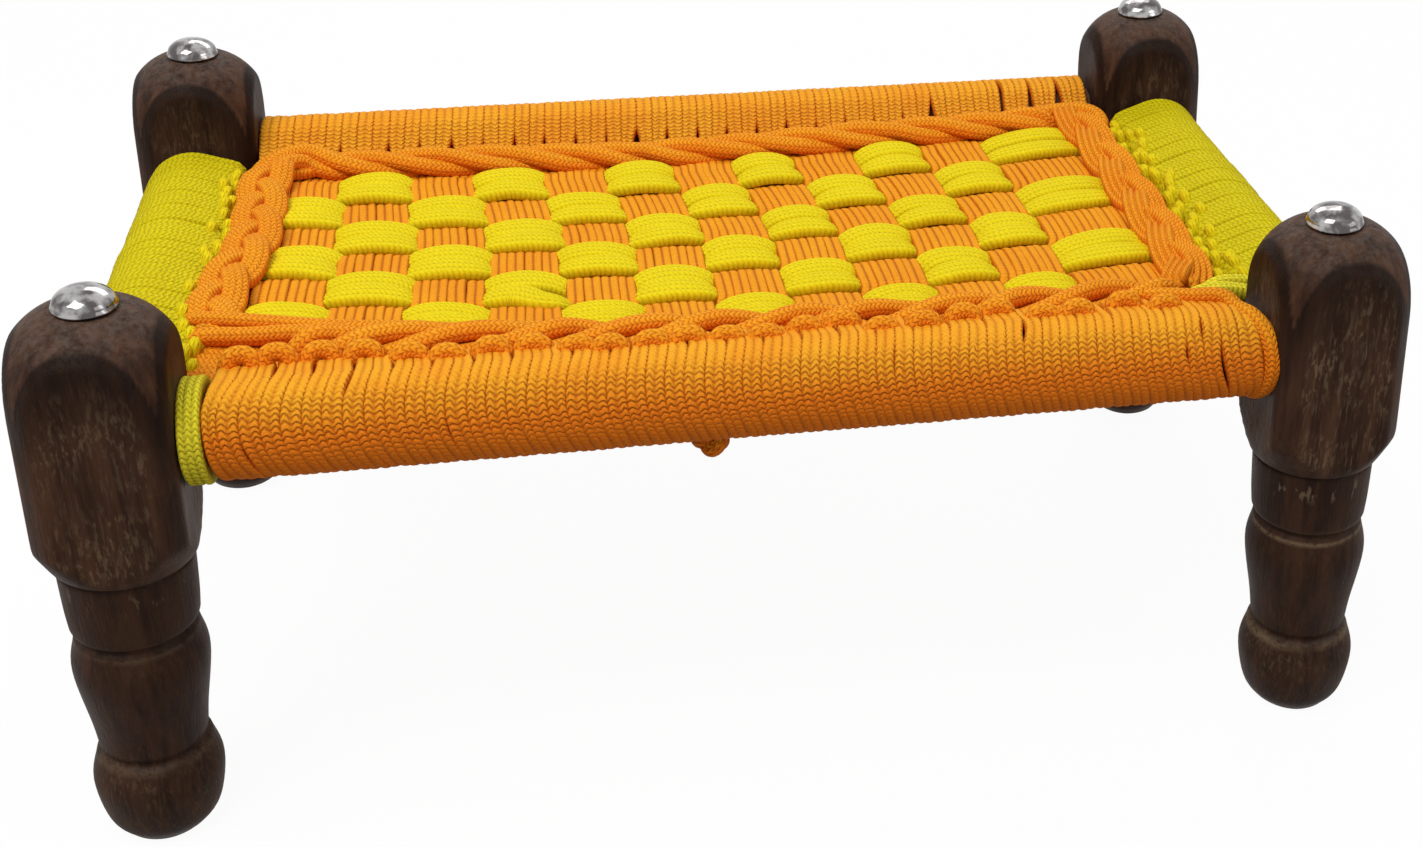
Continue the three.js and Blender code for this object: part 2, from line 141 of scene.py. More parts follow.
def mix_colour(tree, share, first, second):
    inputs = {0: share, 6: first, 7: second}
    return put(tree, "ShaderNodeMix", inputs, data_type="RGBA").outputs[2]


def ramp(tree, value, low, high, smooth=True):
    kind = "SMOOTHSTEP" if smooth else "LINEAR"
    inputs = {0: value, 1: low, 2: high}
    return put(tree, "ShaderNodeMapRange", inputs, interpolation_type=kind).outputs[0]


def bumped(tree, height, strength, distance):
    inputs = {"Height": height, "Strength": strength, "Distance": distance}
    return put(tree, "ShaderNodeBump", inputs).outputs[0]


def new_group(name, inputs, outputs):
    group = bpy.data.node_groups.new(name, "ShaderNodeTree")
    for way, sockets in (("INPUT", inputs), ("OUTPUT", outputs)):
        for label, kind in sockets:
            group.interface.new_socket(label, in_out=way, socket_type="NodeSocket" + kind)
    return group, group.nodes.new("NodeGroupInput").outputs, group.nodes.new("NodeGroupOutput")


def new_material(name):
    material = bpy.data.materials.new(name)
    material.use_nodes = True
    tree = material.node_tree
    tree.nodes.clear()
    shader = tree.nodes.new("ShaderNodeBsdfPrincipled")
    finish = tree.nodes.new("ShaderNodeOutputMaterial")
    tree.links.new(shader.outputs[0], finish.inputs[0])
    return material, tree, shader


print("helpers ready")

# %% [markdown]
# ## Knitted cord
# The cord is a knitted tube. Its stitches stand in columns along the cord, and
# every stitch is a small arc, so neighbouring columns show rows of waves. A
# noise can't make that, but two numbers can: how far along the cord we are,
# counted in stitches, and which column we are on. Each cord's UV map holds
# these two numbers, and the group turns them into a height and a colour. On
# the wound cord the rows show best where it turns toward the side, and Row Band
# says how far they fade where it faces straight up or down.

# %% Knit group
knit, given, handed = new_group(
    "Knit",
    [("Place", "Vector"), ("Side Shade Colour", "Color"), ("Top Light Colour", "Color"), ("Groove Shade Colour", "Color"),
     ("Stitch Depth", "Float"), ("Column Depth", "Float"), ("Row Band", "Float")],
    [("Color", "Color"), ("Height", "Float"), ("Roughness", "Float")],
)
parts = put(knit, "ShaderNodeSeparateXYZ", {0: given["Place"]}).outputs
solid_place = object_place(knit)
waver = noise(knit, solid_place, 520.0, 1.0)
fibre = noise(knit, solid_place, 3400.0, 2.0)
patch = noise(knit, solid_place, 55.0, 3.0)
column = math_node(knit, "FRACT", parts["Y"])
edge = math_node(knit, "ABSOLUTE", math_node(knit, "COSINE", times(knit, column, math.pi)))
bend = times(knit, math_node(knit, "POWER", edge, 2.0), 0.5)
along = math_node(knit, "SUBTRACT", scale_add(knit, waver, 0.8, parts["X"]), bend)
stitch = math_node(knit, "FRACT", along)
off_ridge = math_node(knit, "ABSOLUTE", math_node(knit, "SUBTRACT", stitch, 0.5))
facing = facing_up(knit)
sideways = math_node(knit, "MINIMUM", ramp(knit, facing, 0.98, 0.74), ramp(knit, facing, -0.35, 0.3))
hidden = times(knit, rest_of(knit, sideways), given["Row Band"])
rows = times(knit, rest_of(knit, hidden), given["Stitch Depth"])
groove = times(knit, ramp(knit, off_ridge, 0.16, 0.5), rows)
line = times(knit, math_node(knit, "POWER", edge, 9.0), given["Column Depth"])
relief = times(knit, rest_of(knit, groove), rest_of(knit, line))
height = scale_add(knit, fibre, 0.35, relief)
# Painted light and shade: faces turned up take the lighter, yellower top colour, and faces turned sideways or
# down take the darker, redder side colour, in noisy patches.
top_light_patches = scale_add(knit, ramp(knit, patch, 0.3, 0.7), 0.35, 0.65)
painted_top_light = times(knit, ramp(knit, facing, 0.1, 0.9), top_light_patches)
body = mix_colour(knit, painted_top_light, given["Side Shade Colour"], given["Top Light Colour"])
# Painted shade: the grooves between stitches and columns go toward the dark colour. This is mixed with fibre
# noise for the yarn's own unevenness, and it fades with the rows.
seen = scale_add(knit, fibre, 0.5, times(knit, relief, 0.75))
coloured = mix_colour(knit, ramp(knit, seen, 0.12, 0.8), given["Groove Shade Colour"], body)
dull = scale_add(knit, fibre, 0.3, 0.62)
fill(knit, handed, {"Color": coloured, "Height": height, "Roughness": dull})
print("knit group:", len(knit.nodes), "nodes")

# %% [markdown]
# The orange and the yellow cord are the same knit in two dyes. The darker colour
# between the stitches is painted shade, redder on the orange cord. Faces turned
# up are painted a little yellower and lighter, and faces turned sideways or down
# redder and darker, as painted light and shade. The same cord looks different
# wound, woven or twisted, so each use has its own depth of stitch.

# %% Orange and yellow cord
def feed_shader(tree, group, shader, strength, relief, specular):
    made = group.outputs
    normal = bumped(tree, made["Height"], strength, relief)
    fill(tree, shader, {"Base Color": made["Color"], "Roughness": made["Roughness"], "Normal": normal,
                        "Specular IOR Level": specular})


# All three colours carry painted light and shade: the side colour is the shaded one, the top colour is the
# lit one, and the deep colour is the shade between stitches.
def cord_material(name, side, top_light, groove_shade, stitch_depth, column_depth, relief, row_band=0.0):
    material, tree, shader = new_material(name)
    place = put(tree, "ShaderNodeUVMap", uv_map="stitches").outputs[0]
    group = put(tree, "ShaderNodeGroup", {
        "Place": place, "Side Shade Colour": (*side, 1), "Top Light Colour": (*top_light, 1), "Groove Shade Colour": (*groove_shade, 1),
        "Stitch Depth": stitch_depth, "Column Depth": column_depth, "Row Band": row_band}, node_tree=knit)
    feed_shader(tree, group, shader, strength=1.0, relief=relief, specular=0.14)
    return material


orange_wound = cord_material(
    "orange_cord_wound", side=(0.84, 0.20, 0.007), top_light=(0.88, 0.385, 0.016), groove_shade=(0.40, 0.07, 0.002),
    stitch_depth=0.85, column_depth=0.65, relief=0.00042, row_band=0.6)
orange_band = cord_material(
    "orange_cord_band", side=(0.78, 0.21, 0.006), top_light=(0.85, 0.34, 0.009), groove_shade=(0.40, 0.07, 0.002),
    stitch_depth=0.42, column_depth=0.9, relief=0.0003)
orange_rope = cord_material(
    "orange_cord_rope", side=(0.86, 0.22, 0.006), top_light=(0.92, 0.36, 0.012), groove_shade=(0.46, 0.075, 0.002),
    stitch_depth=0.75, column_depth=0.55, relief=0.00032)
yellow = cord_material(
    "yellow_cord_net", side=(0.73, 0.57, 0.003), top_light=(0.82, 0.655, 0.004), groove_shade=(0.40, 0.27, 0.001),
    stitch_depth=0.6, column_depth=0.6, relief=0.00022)
# A darker copy of the net's yellow for the end rails' turns: painted shade.
yellow_wound_shaded = cord_material(
    "yellow_cord_wound_shaded", side=(0.60, 0.48, 0.0015), top_light=(0.68, 0.57, 0.0015), groove_shade=(0.34, 0.26, 0.001),
    stitch_depth=0.75, column_depth=0.55, relief=0.0003)
# A brighter copy of the yellow for the yellow turn and the corner tapes: painted light against the shade
# there.
yellow_turn_painted_light = cord_material(
    "yellow_cord_turn_painted_light", side=(0.80, 0.68, 0.03), top_light=(0.88, 0.76, 0.03), groove_shade=(0.28, 0.20, 0.002),
    stitch_depth=0.7, column_depth=0.6, relief=0.00035)
print("cord materials:", [material.name for material in bpy.data.materials if "_cord_" in material.name])

# %% [markdown]
# ## Stained wood
# The legs are dark stained, with long pores along the leg. Where tools and
# hands rubbed the stain away, paler wood shows: as short dashes on the sawn
# faces, in rings at the grooves and in small nicks on the collar. Under the
# arch where a sawn face meets the dome the wood is painted nearly black, as
# painted shade that fades downward, and the turned part below the block gets
# half of that painted shade. The leg's mesh carries these places as attributes,
# so that they follow its shape, and the group only breaks them up with noise.

# %% Wood group
wood, given, handed = new_group(
    "Wood grain",
    [("Dark Colour", "Color"), ("Pale Colour", "Color"), ("Bare Colour", "Color"),
     ("Rubbed", "Float"), ("Face", "Float"), ("Painted Shade", "Float"), ("Nicked", "Float")],
    [("Color", "Color"), ("Height", "Float"), ("Roughness", "Float")],
)
solid_place = object_place(wood)
drawn_out = put(wood, "ShaderNodeMapping", {"Vector": solid_place, "Scale": (1.0, 1.0, 0.09)}).outputs[0]
half_drawn = put(wood, "ShaderNodeMapping", {"Vector": solid_place, "Scale": (1.0, 1.0, 0.3)}).outputs[0]
wide_grain = noise(wood, drawn_out, 260.0, 5.0, 0.62)
pores = noise(wood, drawn_out, 1500.0, 3.0, 0.6)
dashes = noise(wood, half_drawn, 980.0, 2.0, 0.7)
nicks = noise(wood, half_drawn, 520.0, 2.0, 0.6)
cloud = noise(wood, solid_place, 70.0, 4.0)
speck = noise(wood, solid_place, 620.0, 4.0, 0.7)
stained = mix_colour(wood, ramp(wood, wide_grain, 0.36, 0.68), given["Dark Colour"], given["Pale Colour"])
cloudy = times(wood, ramp(wood, cloud, 0.45, 0.7), 0.45)
clouded = mix_colour(wood, cloudy, stained, given["Pale Colour"])
dash = times(wood, ramp(wood, dashes, 0.49, 0.65), ramp(wood, cloud, 0.36, 0.60))
fine_dash = times(wood, ramp(wood, pores, 0.53, 0.70), 0.6)
on_face = scale_add(wood, given["Face"], 0.85, 0.12)
pale_share = times(wood, math_node(wood, "MAXIMUM", dash, fine_dash), on_face)
streaked = mix_colour(wood, times(wood, pale_share, 0.62), clouded, given["Bare Colour"])
patchy = times(wood, ramp(wood, speck, 0.30, 0.55), ramp(wood, cloud, 0.30, 0.55))
rub = times(wood, given["Rubbed"], patchy)
nick = times(wood, given["Nicked"], ramp(wood, nicks, 0.60, 0.66))
worn = mix_colour(wood, math_node(wood, "MAXIMUM", rub, nick), streaked, given["Bare Colour"])
# Faces turned up are greyed: partly dust, partly a painted highlight on the up-facing wood.
dust_and_highlight = times(wood, ramp(wood, facing_up(wood), 0.3, 0.9), ramp(wood, speck, 0.30, 0.75))
dusty_and_lit = mix_colour(wood, times(wood, dust_and_highlight, 0.52), worn, (0.13, 0.105, 0.09, 1))
# Painted shade: the near-black colour laid under the arches and, at half strength, on the turned part.
painted_shade = mix_colour(wood, times(wood, given["Painted Shade"], 0.88), dusty_and_lit, (0.007, 0.0032, 0.0022, 1))
dent = scale_add(wood, ramp(wood, pores, 0.5, 0.72), -0.7, times(wood, wide_grain, 0.6))
height = math_node(wood, "SUBTRACT", dent, nick)
dull = scale_add(wood, math_node(wood, "ADD", pale_share, cloud), 0.3, 0.36)
fill(wood, handed, {"Color": painted_shade, "Height": height, "Roughness": dull})
print("wood group:", len(wood.nodes), "nodes")

# %% [markdown]
# Two woods use this group: the dark stain of the legs and the plain wood of the
# rails, of which only slits show. The masks come from the leg's attributes; the
# rails have none, so there every mask reads as nothing.

# %% Stained legs and bare rails
LEG_MASKS = (("Rubbed", "rubbed"), ("Face", "sawn_face"), ("Painted Shade", "painted_shade"), ("Nicked", "nicked"))


def wood_material(name, dark, pale, bare, relief):
    material, tree, shader = new_material(name)
    inputs = {"Dark Colour": (*dark, 1), "Pale Colour": (*pale, 1), "Bare Colour": (*bare, 1)}
    for label, attribute in LEG_MASKS:
        mask = put(tree, "ShaderNodeAttribute", attribute_name=attribute, attribute_type="GEOMETRY")
        inputs[label] = mask.outputs["Fac"]
    group = put(tree, "ShaderNodeGroup", inputs, node_tree=wood)
    feed_shader(tree, group, shader, strength=0.7, relief=relief, specular=0.06)
    return material


stained_wood = wood_material(
    "stained_wood", dark=(0.027, 0.0115, 0.0066), pale=(0.082, 0.037, 0.020), bare=(0.26, 0.175, 0.105),
    relief=0.00025)
bare_wood = wood_material(
    "bare_wood", dark=(0.10, 0.04, 0.018), pale=(0.18, 0.08, 0.036), bare=(0.26, 0.13, 0.06), relief=0.0002)
print("wood materials:", stained_wood.name, bare_wood.name)

# %% [markdown]
# ## Chrome
# The nail heads are bright plated steel. Real ones are never quite clean, so
# a little noise sets the roughness and a faint ripple bends the reflections.

# %% Chrome
chrome, tree, shader = new_material("chrome")
solid_place = object_place(tree)
smudge = noise(tree, solid_place, 260.0, 4.0)
ripple = noise(tree, solid_place, 170.0, 1.0)
tone = mix_colour(tree, ramp(tree, smudge, 0.40, 0.62), (0.11, 0.10, 0.098, 1), (0.45, 0.44, 0.435, 1))
fill(tree, shader, {"Base Color": tone, "Roughness": ramp(tree, smudge, 0.2, 2.6, False),
                    "Normal": bumped(tree, ripple, 0.6, 0.0006), "Metallic": 1.0})
print("chrome ready")

# %% [markdown]
# ## Turning a piece
# A turned piece is made as a lathe hand would think of it: a round disc is
# drawn out ring by ring, and every ring is scaled to the radius that the
# outline gives at that height. `turn` does this in edit mode with a circle,
# extrude and resize.

# %% Lathe by extruding rings
def deselect_all():
    for item in bpy.context.selected_objects:
        item.select_set(False)


def turn(name, outline, sides):
    deselect_all()
    radius, height = outline[0]
    low = (0, 0, height * MM)
    bpy.ops.mesh.primitive_circle_add(vertices=sides, radius=radius * MM, fill_type="NGON", location=low)
    piece = bpy.context.object
    piece.name = name
    bpy.ops.object.transform_apply(location=True, rotation=True, scale=True)
    bpy.ops.object.mode_set(mode="EDIT")
    for (r0, z0), (r1, z1) in zip(outline, outline[1:]):
        bpy.ops.mesh.extrude_region_move(TRANSFORM_OT_translate={"value": (0, 0, (z1 - z0) * MM)})
        bpy.ops.transform.resize(value=(r1 / r0, r1 / r0, 1), center_override=(0, 0, z1 * MM))
    bpy.ops.mesh.select_all(action="SELECT")
    bpy.ops.mesh.normals_make_consistent(inside=False)
    bpy.ops.object.mode_set(mode="OBJECT")
    return piece


def points_of(piece):
    flat = np.empty(len(piece.data.vertices) * 3)
    piece.data.vertices.foreach_get("co", flat)
    return flat.reshape(-1, 3) / MM


def move_points(piece, points):
    piece.data.vertices.foreach_set("co", (points * MM).ravel())
    piece.data.update()


def finish_piece(piece, node, material):
    piece.data.materials.clear()
    piece.data.materials.append(material)
    piece.data.polygons.foreach_set("use_smooth", [True] * len(piece.data.polygons))
    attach(piece, "root")
    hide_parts(node)


print("lathe ready")

# %% [markdown]
# ## The legs
# A leg is one piece of wood: a foot, a vase-shaped bulb and a collar, all
# turned, below a square block with a domed top. The block is made as the
# woodworker makes it: the round blank is turned first and then flattened on
# four sides. Here each point of the blank is drawn in to the nearer of the
# turned surface and the sawn face, with a soft blend between the two, which is
# the sanded edge.

# %% Outline of the turned blank
def spline(knots, count):
    knots = np.array(knots, float)
    padded = np.vstack([2 * knots[0] - knots[1], knots, 2 * knots[-1] - knots[-2]])
    made = []
    for k in range(len(knots) - 1):
        p0, p1, p2, p3 = padded[k:k + 4]
        for t in np.arange(count) / count:
            made.append(0.5 * ((2 * p1) + (p2 - p0) * t + (2 * p0 - 5 * p1 + 4 * p2 - p3) * t ** 2
                               + (3 * p1 - p0 - 3 * p2 + p3) * t ** 3))
    made.append(knots[-1])
    return [tuple(p) for p in made]


BLANK_RADIUS = 19.0
DOME_FOOT, DOME_RISE, DOME_POWER = 111.0, 22.0, 2 / 2.4


def dome_point(angle):
    across = BLANK_RADIUS * math.cos(angle) ** DOME_POWER
    return across, DOME_FOOT + DOME_RISE * math.sin(angle) ** DOME_POWER


foot = spline([(9.6, 0.0), (12.6, 4.73), (14.1, 14.2), (12.5, 21.3)], 6)
low_groove = [(12.3, 21.8), (11.7, 22.3), (11.05, 22.9), (11.0, 23.4), (11.15, 24.0), (11.6, 24.7)]
bulb = spline([(11.75, 25.2), (12.4, 31.0), (14.4, 45.3), (13.1, 53.2)], 7)
high_groove = [(12.9, 53.8), (12.4, 54.4), (12.0, 54.9), (12.1, 55.5), (12.8, 56.0), (13.3, 56.4)]
collar = spline([(13.55, 57.0), (13.9, 62.0), (14.2, 71.4)], 6)
shoulder = [(14.15, 72.0), (13.5, 72.4), (13.4, 73.0), (14.7, 73.15), (15.3, 73.8)]
shoulder += [(16.2, 75.4), (17.2, 77.4), (18.1, 79.2), (18.7, 80.6), (18.95, 82.2)]
straight = [(BLANK_RADIUS, z) for z in np.linspace(85.0, 109.0, 9)]
crown = [dome_point(angle) for angle in np.linspace(0, 1.225, 34)]
seat = [(4.0, crown[-1][1] + 0.1), (1.0, crown[-1][1] + 0.15)]
leg_outline = foot + low_groove + bulb + high_groove + collar + shoulder + straight + crown + seat
print("leg outline:", len(leg_outline), "rings, top at", round(leg_outline[-1][1], 1), "mm")

# %% [markdown]
# The blank is turned, flattened above the collar, and marked. Four attributes
# say where the wood is rubbed, sawn, darkened with painted shade or nicked. A
# rubbed ring is given as height, spread and strength. The foot and the low end
# of the bulb are worn too, so they count in part as sawn face.

# %% One leg, turned and then flattened on four sides
BLOCK_HALF, BLOCK_FOOT, COLLAR_TOP = 15.5, 73.05, 73.0
SANDED_EDGE = 0.22
ARCH_FOOT, ARCH_RISE, ARCH_HALF = 106.0, 23.0, 14.2
RUBBED_RINGS = ((53.2, 0.35, 1.0), (56.6, 0.3, 0.6), (21.6, 0.8, 1.1))
NICKED_COLLAR, NICKED_BLOCK = 68.6, 80.0
WORN_BELOW = 34.0


def soft_least(a, b, blend):
    return -blend * np.log(np.exp(-a / blend) + np.exp(-b / blend))


def ring_at(height, middle, spread):
    return np.exp(-((height - middle) / spread) ** 2)


def leg_blank():
    blank = turn("leg_blank", leg_outline, 160)
    p = points_of(blank)
    reach = np.hypot(p[:, 0], p[:, 1]) + 1e-9
    angle = np.arctan2(p[:, 1], p[:, 0])
    face = BLOCK_HALF / np.maximum(abs(np.cos(angle)), abs(np.sin(angle)))
    block = np.clip((p[:, 2] - BLOCK_FOOT) / 0.3, 0, 1)
    flattened = soft_least(reach, face, SANDED_EDGE)
    new_reach = reach * (1 - block) + flattened * block
    sawn = np.clip((reach - face) / 0.7 + 0.15, 0, 1) * block
    p[:, :2] *= (new_reach / reach)[:, None]
    move_points(blank, p)
    height = p[:, 2]
    off_middle = np.minimum(abs(p[:, 0]), abs(p[:, 1]))
    arch_top = ARCH_FOOT + ARCH_RISE * np.clip(1 - (off_middle / ARCH_HALF) ** 2.4, 0, 1) ** 0.5
    # Painted shade under the arch: darkest just below it, fading downward.
    below = np.clip((arch_top - height) / 0.8, 0, 1) * np.clip(1 - (arch_top - height) / 24, 0.1, 1)
    worn_low = np.clip((WORN_BELOW - height) / 14, 0, 1) * np.clip(height / 3, 0, 1)
    masks = {
        "rubbed": sum(share * ring_at(height, middle, spread) for middle, spread, share in RUBBED_RINGS),
        "sawn_face": np.maximum(sawn, 0.75 * worn_low),
        # Painted shade at half strength on everything below the block.
        "painted_shade": np.where(height < COLLAR_TOP, 0.5, below),
        "nicked": ring_at(height, NICKED_COLLAR, 2.2) + 0.3 * sawn * ring_at(height, NICKED_BLOCK, 6),
    }
    for name, values in masks.items():
        layer = blank.data.attributes.new(name, "FLOAT", "POINT")
        layer.data.foreach_set("value", np.clip(values, 0, 1))
    return blank


blank = leg_blank()
print("leg blank:", len(blank.data.polygons), "faces")

# %% [markdown]
# The four legs are copies of this one. Each is turned by a quarter so that
# different sides show, leaned outward about the height of its long rail, and
# set down at its corner. The front right one is the most worn, and three shares
# say how much of its rubbed, sawn and nicked places the others show.

# %% Four legs in place
WORN = ("rubbed", "sawn_face", "nicked")
LEG_WEAR = {"front_left": (0.35, 0.6, 0.6), "front_right": (1, 1, 1),
            "back_left": (0.5, 0.4, 0.6), "back_right": (0.6, 0.4, 0.6)}
CORNERS = {"front_left": (-1, -1), "front_right": (1, -1), "back_left": (-1, 1), "back_right": (1, 1)}


def leg_matrix(x, y, quarter):
    place = Matrix.Translation((x * HALF_LONG * MM, y * HALF_WIDE * MM, LONG_RAIL_HEIGHT * MM))
    lean = Matrix.Rotation(-x * LEG_LEAN, 4, "Y")
    down = Matrix.Translation((0, 0, -LONG_RAIL_HEIGHT * MM))
    return place @ lean @ down @ Matrix.Rotation(quarter * math.pi / 2, 4, "Z")


def placed_copy(source, name, matrix):
    copy = source.copy()
    copy.data = source.data.copy()
    copy.name = copy.data.name = name
    bpy.context.scene.collection.objects.link(copy)
    copy.data.transform(matrix)
    return copy


for quarter, (corner, (x, y)) in enumerate(CORNERS.items()):
    leg = placed_copy(blank, "wooden_leg_" + corner, leg_matrix(x, y, quarter))
    points = points_of(leg)
    points[:, 2] = np.maximum(points[:, 2], 0.0)
    move_points(leg, points)
    for name, share in zip(WORN, LEG_WEAR[corner]):
        layer = leg.data.attributes[name].data
        values = np.empty(len(layer))
        layer.foreach_get("value", values)
        layer.foreach_set("value", values * share)
    finish_piece(leg, "leg_" + corner, stained_wood)
bpy.data.objects.remove(blank)
print("legs placed")

# %% [markdown]
# ## The nails
# Each leg carries a domed nail. The head is turned like the leg, with a rolled
# rim, and sits on the flat that the lathe left at the top of the dome.

# %% Four nails
HEAD_RADIUS, HEAD_RISE, RIM_HEIGHT = 6.2, 3.5, 0.9
NAIL_CLEARANCE = 0.25
head = [(1.2, -4.0), (1.2, -0.1), (5.9, -0.05), (6.35, 0.0), (6.5, 0.25), (6.45, 0.6)]
head.append((HEAD_RADIUS, RIM_HEIGHT))
for angle in np.linspace(0.12, 1.45, 13):
    head.append((HEAD_RADIUS * math.cos(angle), RIM_HEIGHT + HEAD_RISE * math.sin(angle)))
head.append((0.25, 4.42))
nail = turn("nail_blank", head, 64)
seat_height = leg_outline[-1][1] + NAIL_CLEARANCE
for quarter, (corner, (x, y)) in enumerate(CORNERS.items()):
    matrix = leg_matrix(x, y, quarter) @ Matrix.Translation((0, 0, seat_height * MM))
    finish_piece(placed_copy(nail, "nail_head_" + corner, matrix), "nail_" + corner, chrome)
bpy.data.objects.remove(nail)
print("nails placed at", round(seat_height, 1), "mm")

# %% [markdown]
# ## The rails
# The rails are plain dowels that only show as darkness between the turns, so
# the measured ones stay and only get their wood.

# %% Rails
for side in ("front", "back", "left", "right"):
    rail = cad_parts["rail_" + side]
    rail.data.materials.clear()
    rail.data.materials.append(bare_wood)
print("rails dressed")

# %% [markdown]
# ## A cord as a mesh
# All the cords are made the same way. A section is drawn once: a tape of a few
# rounded columns, or a plain round. It is then carried along a path, standing
# on the path's own up direction, and rings are joined by faces. The UV map
# counts stitches along the cord and columns across it, for the knit material.

# %% Sections
STITCH = 1.22
OVERLAP = 1.14


def tape_section(columns, groove=0.86, fine=5, power=0.36, dome=0.0):
    x, y, v = [], [], []
    for c in range(columns):
        for j in range(fine):
            a = math.pi * j / fine
            x.append(-1 + (2 * c + 1 - math.cos(a)) / columns)
            y.append(max(math.sin(a) ** power if a else 0.0, groove if c or j else 0.0))
            v.append(c + (1 - math.cos(a)) / 2)
    x, y, v = np.array(x), np.array(y), np.array(v)
    y = y * (1 - dome * abs(x) ** 2.2)
    return np.r_[x, -x], np.r_[y, -y], np.r_[v, v + columns, 2 * columns]


def round_section(columns=8, points=16):
    a = math.pi - 2 * math.pi * np.arange(points) / points
    return np.cos(a), np.sin(a), np.arange(points + 1) * columns / points


TWO_COLUMNS = tape_section(2)
FOUR_COLUMNS = tape_section(4, 0.84, 4, dome=0.35)
ROUND = round_section()
print("sections:", len(TWO_COLUMNS[0]), len(FOUR_COLUMNS[0]), len(ROUND[0]), "points")

# %% [markdown]
# A path is a smooth line through a few points. `carried_up` carries an up
# direction along it without a twist, `tube` sets the section on it ring by
# ring, and `cord_mesh` joins any number of tubes into one piece with its UV map,
# which `cord_piece` then gives its finish and its node.

# %% Paths and tubes
UP = np.array((0, 0, 1.0))


def unit(v):
    return v / np.maximum(np.linalg.norm(v, axis=-1, keepdims=True), 1e-9)


def length_along(path):
    return np.r_[0, np.cumsum(np.linalg.norm(np.diff(path, axis=0), axis=1))]


def across_path(path, up):
    heading = unit(np.gradient(path, axis=0))
    side = unit(np.cross(heading, up))
    return side, np.cross(side, heading)


def smooth_path(points, step):
    fine = np.array(spline(points, 16))
    gone = length_along(fine)
    want = np.linspace(0, gone[-1], max(3, int(gone[-1] / step) + 1))
    return np.column_stack([np.interp(want, gone, fine[:, k]) for k in range(3)])


def carried_up(path, first=UP):
    heading = unit(np.gradient(path, axis=0))
    up = np.array(first, float)
    ups = []
    for t in heading:
        up = up - t * np.dot(up, t)
        up = up / np.linalg.norm(up)
        ups.append(up)
    return np.array(ups)


def tube(path, up, half_width, half_thick, section):
    x, y, v = section
    count = len(path)
    side, up = across_path(path, up)
    width = np.broadcast_to(half_width, count)[:, None, None]
    thick = np.broadcast_to(half_thick, count)[:, None, None]
    across = side[:, None, :] * width * x[None, :, None]
    rings = path[:, None, :] + across + up[:, None, :] * thick * y[None, :, None]
    return rings, length_along(path) / STITCH, v


FACE_CORNERS = ((0, 0), (0, 1), (1, 1), (1, 0))


def cord_mesh(name, tubes):
    points, faces, uvs, base = [], [], [], 0
    for rings, gone, v in tubes:
        count, size = rings.shape[:2]
        points.append(rings.reshape(-1, 3))
        r, k = np.meshgrid(np.arange(count - 1), np.arange(size), indexing="ij")
        quads = np.stack([(r + a) * size + (k + b) % size for a, b in FACE_CORNERS], -1)
        faces += (quads.reshape(-1, 4) + base).tolist()
        places = np.stack([np.stack([gone[r + a], v[k + b]], -1) for a, b in FACE_CORNERS], 2)
        uvs.append(places.reshape(-1, 2))
        last = (count - 1) * size
        faces.append([base + j for j in reversed(range(size))])
        faces.append([base + last + j for j in range(size)])
        uvs.append(np.column_stack([np.full(size, gone[0]), v[:-1][::-1]]))
        uvs.append(np.column_stack([np.full(size, gone[-1]), v[:-1]]))
        base += count * size
    mesh = bpy.data.meshes.new(name)
    mesh.from_pydata((np.vstack(points) * MM).tolist(), [], faces)
    layer = mesh.uv_layers.new(name="stitches")
    layer.data.foreach_set("uv", np.vstack(uvs).ravel())
    piece = bpy.data.objects.new(name, mesh)
    bpy.context.scene.collection.objects.link(piece)
    return piece


def cord_piece(name, tubes, node, material):
    finish_piece(cord_mesh(name, tubes), node, material)


print("cord maker ready")

# %% [markdown]
# ## Where the net lies
# The net hangs a little, fans out to the right and bows to the front. The same
# few numbers as in the measured model say where a place across the net comes
# to lie, so that everything drawn below follows one cloth. SAG is how deep it
# hangs, BOW how far its front bows, FAN how much it widens to the right, and
# SHIFT, CURVE and SLANT how its rows lie across. DRAW is how far the bands are
# drawn along the length between the two ends.

# %% Lie of the net
SAG, BOW, DRAW = 4.6, 2.8, 3.2
FAN, SHIFT, CURVE, SLANT = 0.09, 0.5, 2.6, 1.2


def front_bow(x):
    from_left = np.clip((np.asarray(x) + 80) / 45, 0, 1)
    return from_left * (1 - 0.55 * np.clip((np.asarray(x) - 55) / 45, 0, 1))


def drawn_place(x, y):
    across = np.asarray(x) / ROW_END
    inside = np.clip(y, NET_FRONT, NET_BACK)
    hold = np.minimum(1, (BAND_END - abs(np.asarray(y))) / (BAND_END - abs(inside)))
    bow = BOW * front_bow(x) * np.clip((-10 - np.asarray(y)) / 23, 0, 1)
    return y - bow + hold * (FAN * across * inside + SHIFT + CURVE * across ** 2 - SLANT * across)


def drawn_along(x, y):
    swell = np.clip(1 - (np.asarray(x) / 115) ** 2, 0, 1)
    right = np.clip(np.asarray(x) / 30, 0, 1)
    turned_back = np.clip((np.asarray(y) - 5 + 8 * right) / (35 + 8 * right), 0, 1) ** 1.3
    return x + DRAW * swell * (1 - (1.5 + 0.6 * right) * turned_back)


def dip(x, y):
    along = np.maximum(0, 1 - (np.asarray(x) / ROW_END) ** 2)
    across = np.maximum(0, 1 - (np.asarray(y) / BAND_END) ** 2)
    return SAG * (along * across)


NET_LEFT, NET_RIGHT, BAND_PITCH = -112, 107.5, 17.6
column_edges = np.r_[NET_LEFT + BAND_PITCH * np.arange(12), NET_RIGHT]
row_edges = np.linspace(NET_FRONT, NET_BACK, 7)
print("columns:", np.diff(column_edges).round(1), "rows:", np.diff(row_edges).round(1))

# %% [markdown]
# ## Cord wound round a rail
# Each rail is wound with one long cord, two stitch columns wide, every turn
# hard against the last. Toward the net the turns don't hug the dowel: the net's
# ties pull them inward, so one turn has the outline of a drop, round over the
# dowel and pointed at the tie. The outline is a large and a small circle and
# the two straight lines that touch both.

